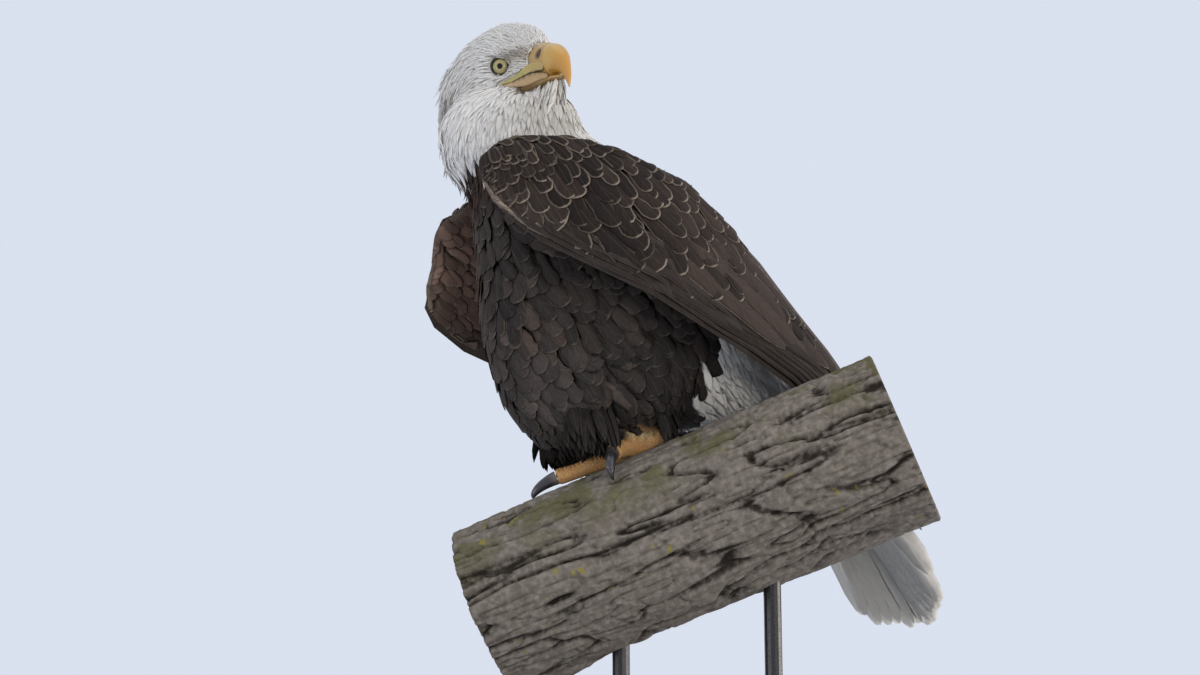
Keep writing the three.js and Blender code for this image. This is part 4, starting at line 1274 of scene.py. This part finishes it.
# patches of another colour: place, reach in millimetres, colour and strength; some of them are painted
# light and shade, each marked below
MARKS_AND_PAINTED_LIGHT = (
    # painted light: the first patch lightens the front of the right wing, which lies in shade
    ((-93, -150, 232), 58, np.array((0.25, 0.155, 0.115)), 0.9), ((85, 30, 268), 60, WARM, 0.8),
    ((60, 80, 245), 50, WARM, 0.8), ((48, 126, 208), 9, np.array((0.6, 0.58, 0.54)), 1.0),
    ((-96, -140, 172), 7, np.array((0.5, 0.48, 0.45)), 1.0),
    # painted highlight: the pale patch at (112, -160, 215) lightens the front edge of the left wing by the
    # wrist
    ((45, -120, 135), 12, RUST, 0.8), ((112, -160, 215), 26, np.array((0.16, 0.125, 0.10)), 0.8),
    # painted light lifts the low front of the belly, and painted shade darkens the flank under the left
    # wing
    ((30, -108, 80), 50, MID * 1.5, 0.6), ((60, 20, 90), 60, DARK * 0.7, 0.8),
    ((-30, 30, 250), 110, DARK, 0.5),
)


def dyes(places, how_white):
    """Each feather's colour: browns in drifting patches, whites with painted shade on throat and face."""
    patch = layered(places / 0.03, 3, 40)[:, None]
    tone = DARK + (MID - DARK) * np.clip(0.55 + 0.5 * patch, 0, 1)
    tone = tone + (WARM - MID) * np.clip(rng.normal(0.1, 0.3, len(places)), 0, 1)[:, None]
    for place, far, colour, strength in MARKS_AND_PAINTED_LIGHT:
        near = np.linalg.norm(places - bird(*place), axis=1) * 1000 / far
        share = strength * np.exp(-near**2) * rng.uniform(0.5, 1.1, len(places))
        tone = tone + (colour - tone) * np.clip(share, 0, 1)[:, None]
    tone *= rng.uniform(0.8, 1.2, len(places))[:, None]
    pale = SNOW * rng.uniform(0.93, 1.03, len(places))[:, None]
    # painted shade: the white feathers under the bill and down the throat are painted greyer
    throat = np.linalg.norm(places - from_head((0, -40, -44)), axis=1)[:, None] * 1000
    pale = pale * (1 - np.array((0.34, 0.36, 0.40)) * np.exp(-((throat / 38) ** 2)))
    for side in SIDES.values():
        # painted shadow: the white feathers along a line under the brow ridge, just before each eye, are
        # painted grey
        back, middle, front = (side * 24, -13, 10.5), (side * 20, -22, 12.2), (side * 16, -33, 10.7)
        brow_shadow = np.minimum(to_segment(to_head(places), back, middle)[0],
                           to_segment(to_head(places), middle, front)[0])
        # painted shade: the white feathers in the hollow before each eye are painted darker and warmer
        lores = to_segment(to_head(places), (side * 16, -31, 8.5), (side * 22, -15, 8.5))[0][:, None]
        pale = pale * (1 - np.array((0.32, 0.40, 0.52)) * np.exp(-((lores / 6) ** 2)))
        pale = pale + (np.array((0.30, 0.285, 0.27)) - pale) * 0.75 * np.exp(-((brow_shadow[:, None] / 2.4) ** 2))
    return np.where(how_white[:, None] > 0.5, pale, tone)


def rooted_in(*names):
    return np.isin(root_region, [REGIONS.index(name) for name in names])


# where the shanks stand, by the side that they are on
SHANKS = {1: (24, 8), -1: (-33, 17)}


def behind_shank(places, side):
    """How far places on the bird lie behind a shank, along a line turned 20 degrees out."""
    x, y = SHANKS[side]
    return 0.342 * side * (places[:, 0] - x) + 0.94 * (places[:, 1] - y)


dye = dyes(roots, root_white)
brown = root_white < 0.5
on_trunk = rooted_in(*TRUNK)
# painted light: the brown feathers of the low front of the belly, which lies in shade, are painted up to
# nearly half again lighter
low_front_painted_light = np.exp(-np.linalg.norm(roots - bird(10, -110, 90), axis=1)[:, None] ** 2 / 0.075**2)
dye = np.where((on_trunk & brown)[:, None], dye * (1.25, 1.42, 1.52) * (1 + 0.45 * low_front_painted_light), dye)
dye = np.where((rooted_in("wing_left", "wing_right") & brown)[:, None], dye * 0.80, dye)
dye = np.where((rooted_in("neck") & brown)[:, None], dye * (1.6, 1.4, 1.3), dye)
edge = size[:, 3] * np.clip(rng.normal(0.8, 0.3, len(roots)), 0.15, 1.2) * brown
vary = rng.uniform(np.where(on_trunk, 0.75, 0.85), np.where(on_trunk, 1.35, 1.2))
lengths = size[:, 0] * vary / 1000
rooted = (roots - BIRD_AT) * 1000
for side in SHANKS:
    over_leg = np.exp(-((behind_shank(rooted, side) / 14) ** 2)) * (side * rooted[:, 0] > 0) * on_trunk
    shortest = np.maximum(9, (rooted[:, 2] - 50) * 1.25) / 1000
    lengths += (np.minimum(lengths, shortest) - lengths) * over_leg
halves = size[:, 1] * rng.uniform(np.where(on_trunk, 0.7, 0.85), 1.1) / 2000
# the regions of each coat, its vanes' outline and columns, whether they bend to the skin, and their lift
GROUPS = {
    "head": (("head",), LANCE, 3, False, 0.85), "neck": (("neck",), LANCE, 5, False, 0.9),
    "body": (TRUNK, ROUND, 5, True, 0.9), "wing_left": (("wing_left",), ROUND, 5, True, 0.9),
    "wing_right": (("wing_right",), ROUND, 5, True, 0.9),
    "tail": (("tail", "foot_left", "foot_right"), ROUND, 5, True, 0.9),
}
for group, (names, shape, columns, broad, lift) in GROUPS.items():
    for tone_name, finish, mask in (("white", white_plumage, root_white > 0.5),
                                    ("brown", brown_plumage, root_white <= 0.5)):
        chosen = np.flatnonzero(rooted_in(*names) & mask)
        if len(chosen) < 5:
            continue
        ruffle = np.abs(rng.normal(0, 0.0010 if group == "body" else 0.0005, len(chosen)))
        if group == "head":
            ruffle *= 0.3 + 110 * lengths[chosen]
        if group in ("head", "neck"):
            behind = step_between(95, 135, np.linalg.norm(to_head(roots[chosen]) - FACE_FRONT, axis=1))
            ruffle += 0.007 * behind * rng.uniform(0, 1, len(chosen)) ** 7
        soft = group == "body" and tone_name == "white"
        outline = LANCE if soft else shape
        loose = 0.26 if group == "body" and not soft else 0.12
        grid = trace(number[chosen], weight[chosen], lengths[chosen], halves[chosen], outline, columns,
                     lift, ruffle, broad and not soft, loose)
        vanes(f"coat_{group}_{tone_name}", grid, unwrap[chosen], lengths[chosen], halves[chosen], outline,
              dye[chosen], edge[chosen], finish)

# ---------------------------------------------------------------- quills of the wings
# The long stiff feathers of each folded wing: primaries and secondaries stacked in a band along its
# lower edge, and five broad tertials over them. Each is a flat vane on a strong shaft, set in the wing
# under its coverts.
QUILL = (np.array([0, 0.07, 0.16, 0.27, 0.39, 0.51, 0.63, 0.74, 0.83, 0.90, 0.95, 0.98, 1.0]),
         np.array([0.30, 0.70, 0.86, 0.94, 0.98, 1.0, 1.0, 0.97, 0.90, 0.76, 0.56, 0.34, 0.08]))
BROAD = (np.array([0, 0.12, 0.28, 0.45, 0.60, 0.73, 0.83, 0.91, 0.965, 1.0]),
         np.array([0.35, 0.75, 0.93, 1.0, 1.02, 1.0, 0.92, 0.74, 0.46, 0.08]))


def blades(paths, outs, halves, shape, cup=0.10, roll=0.0, columns=7, ragged=0.04):
    """Grids of points for long vanes along given paths, cupped across and rolled about their shafts."""
    heading = unit(np.gradient(paths, axis=1))
    side = unit(np.cross(heading, outs))
    normal = np.cross(side, heading)
    u = np.linspace(-1, 1, columns)
    rough = 1 + ragged * rng.normal(0, 1, (*paths.shape[:2], columns)) * (np.abs(u) > 0.9)
    wide = halves[:, None, None] * shape[1][None, :, None] * u * rough
    high = cup * (1 - u**2) * halves[:, None, None] * shape[1][None, :, None] + roll * wide
    high = high + 0.0005 * (np.abs(u) < 0.1)
    return paths[:, :, None] + side[:, :, None] * wide[..., None] + normal[:, :, None] * high[..., None]


def lay_blades(name, paths, outs, halves, shape, dye, edge, finish, **how):
    """One mesh of free vanes, each with the place of its root on the skin's unwrap."""
    _, number, weight = on_skin(paths[:, 0])
    unwrap = (skin_unwrap[number] * weight[..., None]).sum(1)
    lengths = np.linalg.norm(np.diff(paths, axis=1), axis=2).sum(1)
    grid = blades(paths, outs, halves, shape, **how)
    vanes(name, grid, unwrap, lengths, halves, shape, dye, edge, finish)


# where the longest feathers end, from the lowest to the uppermost, and how far out each wing's are moved
FLIGHT_TIPS = ((16, 305, -32), (18, 291, 13), (20, 260, 57), (26, 222, 98))
TIP_SHIFT = {"left": -5, "right": 20}
QUILLS = 8
LAID = 6  # the last point of each quill that still lies on the wing
# each tertial's place over the wing: s and v of its root, then of its tip
TERTIALS = ((0.44, 0.30, 0.775, 0.50), (0.52, 0.02, 0.84, 0.14), (0.56, -0.25, 0.895, -0.20),
            (0.60, -0.55, 0.94, -0.50), (0.66, -0.80, 0.965, -0.80))
TERTIAL_WIDTHS = (32, 31, 29, 25, 16)
for name in WINGS:
    t = np.linspace(0, 1, QUILLS)[:, None]
    share = QUILL[0][None]
    s = (0.15 + 0.30 * t) * (1 - share) + 1.0 * share
    v = 0.86 - 0.50 * t + (0.06 - 0.8 * t) * step_between(0.45, 1, share)
    laid, outs = on_wing(name, s, v, -2.0 + 2.0 * t + 0 * share)
    near, number, weight = on_skin(laid.reshape(-1, 3))
    near = near + unit(read(skin_normals, number, weight)) * 0.0005
    near = near.reshape(laid.shape) + outs * (0.0020 * t + 0.0012 * share)[..., None]
    laid = near + (laid - near) * step_between(0.55, 0.85, share)[..., None]
    tips = curve(FLIGHT_TIPS, t[:, 0]) + (TIP_SHIFT[name], 0, 0)
    tips = BIRD_AT + tips * MIRROR[name] / 1000
    tip_out = unit(np.array((0.8, 0.2, 0.55)) * MIRROR[name])
    free = step_between(0.62, 1.0, share)[..., None]
    last = laid[:, LAID:LAID + 1]
    straight = last + (tips[:, None] - last) * ((share - share[0, LAID]) / (1 - share[0, LAID]))[..., None]
    straight = straight + tip_out * (0.002 * t)[..., None]
    paths = laid * (1 - free) + straight * free
    halves = np.full(QUILLS, 0.0155)
    tone = np.array((0.032, 0.0255, 0.0225)) * rng.uniform(0.8, 1.25, QUILLS)[:, None]
    lay_blades(f"quills_{name}", paths, outs, halves, QUILL, tone, np.full(QUILLS, 0.22), brown_plumage,
               roll=0.06)

    first_s, first_v, last_s, last_v = (np.array(c)[:, None] for c in zip(*TERTIALS))
    share = BROAD[0][None]
    s = first_s + (last_s - first_s) * share
    v = first_v + (last_v - first_v) * share
    rank = np.arange(len(TERTIALS))[:, None]
    paths, outs = on_wing(name, s, v, -4.2 + 4.6 * share + 0.7 * rank)
    tone = np.array((0.040, 0.029, 0.0240)) * rng.uniform(0.9, 1.2, len(TERTIALS))[:, None]
    tone[-1] = (0.075, 0.062, 0.054)
    halves = np.array(TERTIAL_WIDTHS) / 2000
    lay_blades(f"tertials_{name}", paths, outs, halves, BROAD, tone, np.full(len(TERTIALS), 0.85),
               brown_plumage)

# ---------------------------------------------------------------- quills of the tail
# Twelve broad white tail feathers in a narrow fan, set in the root of the tail. The middle pair lies
# on top and each next one under the last, and their sides are worn.
TAIL_FEATHERS = 12
TAIL_LENGTH = 292
TAIL_HALF_WIDTH = 0.021
FAN = (np.array([0, 0.08, 0.18, 0.30, 0.42, 0.54, 0.66, 0.77, 0.86, 0.92, 0.96, 0.985, 1.0]),
       np.array([0.25, 0.45, 0.60, 0.72, 0.82, 0.90, 0.97, 1.0, 0.99, 0.90, 0.72, 0.50, 0.22]))
place = np.linspace(-1, 1, TAIL_FEATHERS)
outermost = place > 0.99
turn = np.radians(15) * place + np.radians(3.0) * outermost
length = TAIL_LENGTH * (1 - 0.07 * place**2) * (1 - 0.07 * outermost) / 1000
length = length * rng.uniform(0.97, 1.0, TAIL_FEATHERS)
root = TAIL_ROOT + 0.016 * place[:, None] * tail_across - 0.005 * np.abs(place)[:, None] * tail_out
share = FAN[0][None, :, None]
back, aside = (length * np.cos(turn))[:, None, None], (length * np.sin(turn))[:, None, None]
reach = back * tail_along + aside * tail_across
under = -(0.005 * np.abs(place)[:, None] * share[..., 0] + 0.0004 * (np.arange(TAIL_FEATHERS) % 2)[:, None])
paths = root[:, None] + reach * share + under[..., None] * tail_out
paths = paths + 0.004 * np.sin(np.pi * share) * tail_out
outs = np.broadcast_to(tail_out, paths.shape)
cream = np.array((0.88, 0.84, 0.75)) * rng.uniform(0.93, 1.03, TAIL_FEATHERS)[:, None]
for half_name, side in SIDES.items():
    chosen = np.flatnonzero(side * place > 0)
    lay_blades(f"tail_quills_{half_name}", paths[chosen], outs[chosen],
               np.full(len(chosen), TAIL_HALF_WIDTH), FAN, cream[chosen], np.zeros(len(chosen)),
               white_plumage, cup=0.025, roll=0.05 * side, ragged=0.07)

# ---------------------------------------------------------------- edge of the wing
# Narrow pale feathers along the front edge of each wing, below the small coverts of the wrist; their pale
# tone is painted highlight along the edge. They are rooted in its skin and lie close against it.
RIM_FEATHERS = 9
for name in WINGS:
    share = QUILL[0][None]
    start = np.linspace(0.03, 0.24, RIM_FEATHERS)[:, None]
    s = start + 0.115 * share
    v = 0.97 - 0.10 * share - 0.2 * (start - 0.03)
    paths, outs = on_wing(name, s, v, -1.5)
    near, number, weight = on_skin(paths.reshape(-1, 3))
    near = near + unit(read(skin_normals, number, weight)) * 0.0022
    paths = near.reshape(paths.shape) + outs * (0.0012 * share)[..., None]
    # painted highlight: these feathers are painted far paler than the wing, for the light along its edge
    tone = np.array((0.28, 0.22, 0.18)) * rng.uniform(0.5, 1.2, RIM_FEATHERS)[:, None]
    lay_blades(f"rim_{name}", paths, outs, np.full(RIM_FEATHERS, 0.0055), QUILL, tone,
               np.full(RIM_FEATHERS, 0.5), brown_plumage)

# ---------------------------------------------------------------- chin
# Soft white feathers rooted between the two sides of the lower bill, hanging down over the throat.
# They hide the bare skin there.
CHIN_FEATHERS = 620
y = -rng.uniform(20, 64, CHIN_FEATHERS)
bill_y, bill_half = np.array(LOWER).T[[1, 3]]
wide = np.interp(-y, -bill_y, bill_half) * 0.86
x = rng.uniform(-1, 1, CHIN_FEATHERS)
low = rng.uniform(0, 1, CHIN_FEATHERS) ** 1.5
back = np.clip((y + 64) / 44, 0, 1)
root = np.column_stack([x * wide * (1 + 0.5 * low), y + 5 * low, -23.4 - 0.6 * (1 - np.abs(x)) - 16 * low])
toward = np.column_stack([0.35 * x, -0.02 + 0.55 * back, -np.ones(CHIN_FEATHERS)])
toward = unit(toward + rng.normal(0, 0.06, toward.shape))
length = (17 + 5 * back + 6 * low) * rng.uniform(0.55, 1.15, CHIN_FEATHERS)
share = LANCE[0][None, :, None]
curl = np.array((0, 0.30, -0.1)) * (share**2)
paths = root[:, None] + length[:, None, None] * (toward[:, None] * share + 0.5 * curl)
outs = unit(np.column_stack([x * 1.2, -0.6 + back, np.full(CHIN_FEATHERS, -0.2)]))
paths = HEAD_AT + paths @ head_axes.T / 1000
outs = np.broadcast_to((outs @ head_axes.T)[:, None], paths.shape)
# painted shade: the chin's feathers, under the bill, are greyer than the other white feathers
pale = np.array((0.66, 0.63, 0.575)) * rng.uniform(0.9, 1.05, CHIN_FEATHERS)[:, None]
lay_blades("coat_chin", paths, outs, rng.uniform(1.6, 2.4, CHIN_FEATHERS) / 1000, LANCE, pale,
           np.zeros(CHIN_FEATHERS), white_plumage, columns=3)

# ---------------------------------------------------------------- hackles of the nape
# The long pointed feathers at the back of the turned head. They hang down from the nape over the
# side of the neck, and draw in to it above the shoulder.
HACKLES = 900
NECK_MIDDLE, NECK_RADIUS = (0, -107), 57
LOWEST_ROOT, HIGHEST_ROOT = 322, 384
nape = share_in("head", "neck") > 0.6
from_middle = on_bird[:, :2] - NECK_MIDDLE
beyond = np.linalg.norm(from_middle, axis=1) - NECK_RADIUS
nape &= (beyond > 5) & (height > LOWEST_ROOT) & (height < HIGHEST_ROOT) & (skin_normals[:, 2] < 0.25)
nape &= to_head(skin_points)[:, 1] > 34
chosen = rng.choice(np.flatnonzero(nape), HACKLES, replace=True)
scatter = rng.uniform(-0.0008, 0.0008, (HACKLES, 3))
root, beyond = skin_points[chosen] + scatter, beyond[chosen]
away = np.column_stack([unit(from_middle[chosen]), np.zeros(HACKLES)])
length = np.clip(height[chosen] - 292, 28, 58) * rng.uniform(0.7, 1.1, HACKLES)
share = LANCE[0][None, :, None]
inward = (beyond * 0.62)[:, None, None] * share**1.6 * np.clip(length / 50, 0, 1)[:, None, None]
swell = 4.5 * np.sin(np.pi * np.minimum(share * 1.4, 1)) + 1.0
aside = rng.normal(0, 0.07, (HACKLES, 3)) * (1, 1, 0)
fall = (aside + (0, 0, -1))[:, None] * share * length[:, None, None]
paths = root[:, None] + (away[:, None] * (swell - inward) + fall) / 1000
outs = np.broadcast_to(away[:, None], paths.shape)
pale = SNOW * rng.uniform(0.93, 1.03, HACKLES)[:, None]
lay_blades("coat_hackles", paths, outs, rng.uniform(2.2, 3.6, HACKLES) / 1000, LANCE, pale,
           np.zeros(HACKLES), white_plumage, columns=3)

# ---------------------------------------------------------------- fringe of the belly
# Loose dark feathers rooted along the lowest edge of the belly, hanging round the legs down to the
# toes and the bark. They part in front of each bare shank.
FRINGE = 520
# how low the fringe hangs: places from front to back, then the height of its hem there
HANG_TO = ((-72, -60, -20, 0, 36, 76, 110), (22, 11, 7, 10, 26, 45, 60))
hem = share_in(*TRUNK) > 0.6
hem &= (on_bird[:, 2] < 58) & (skin_normals[:, 2] < -0.25) & (on_bird[:, 1] > -66) & (white < 0.5)
for side, (x, _) in SHANKS.items():
    behind = behind_shank(on_bird, side)
    hem &= ~((behind > -29) & (behind < 16) & (side * (on_bird[:, 0] - x) > -10))
chosen = rng.choice(np.flatnonzero(hem), FRINGE, replace=False)
root, facing = skin_points[chosen], skin_normals[chosen]
local = on_bird[chosen]
drop = np.clip(local[:, 2] - np.interp(local[:, 1], *HANG_TO), 8, 46) * rng.uniform(0.7, 1.05, FRINGE)
toward = unit(facing * (0.3, 0.15, 0) + (0, 0.2, -1) + rng.normal(0, 0.11, facing.shape))
share = LANCE[0][None, :, None]
bow = 0.12 * np.sin(np.pi * share) * (facing * (1, 1, 0))[:, None]
paths = root[:, None] + drop[:, None, None] / 1000 * (toward[:, None] * share + bow)
from_root = paths - branch_root
from_axis = from_root - (from_root @ uphill)[..., None] * uphill
far = np.linalg.norm(from_axis, axis=2, keepdims=True)
paths = paths + from_axis / far * np.maximum(BRANCH_RADIUS + 0.004 - far, 0)
outs = unit(facing * (1, 1, 0) + (0.02, 0, 0))[:, None] * np.ones((1, len(LANCE[0]), 1))
tone = np.array((0.017, 0.0148, 0.0138)) * rng.uniform(0.7, 1.3, FRINGE)[:, None]
lay_blades("coat_fringe", paths, outs, rng.uniform(3.0, 6.0, FRINGE) / 1000, LANCE, tone,
           np.full(FRINGE, 0.05), brown_plumage, columns=5)
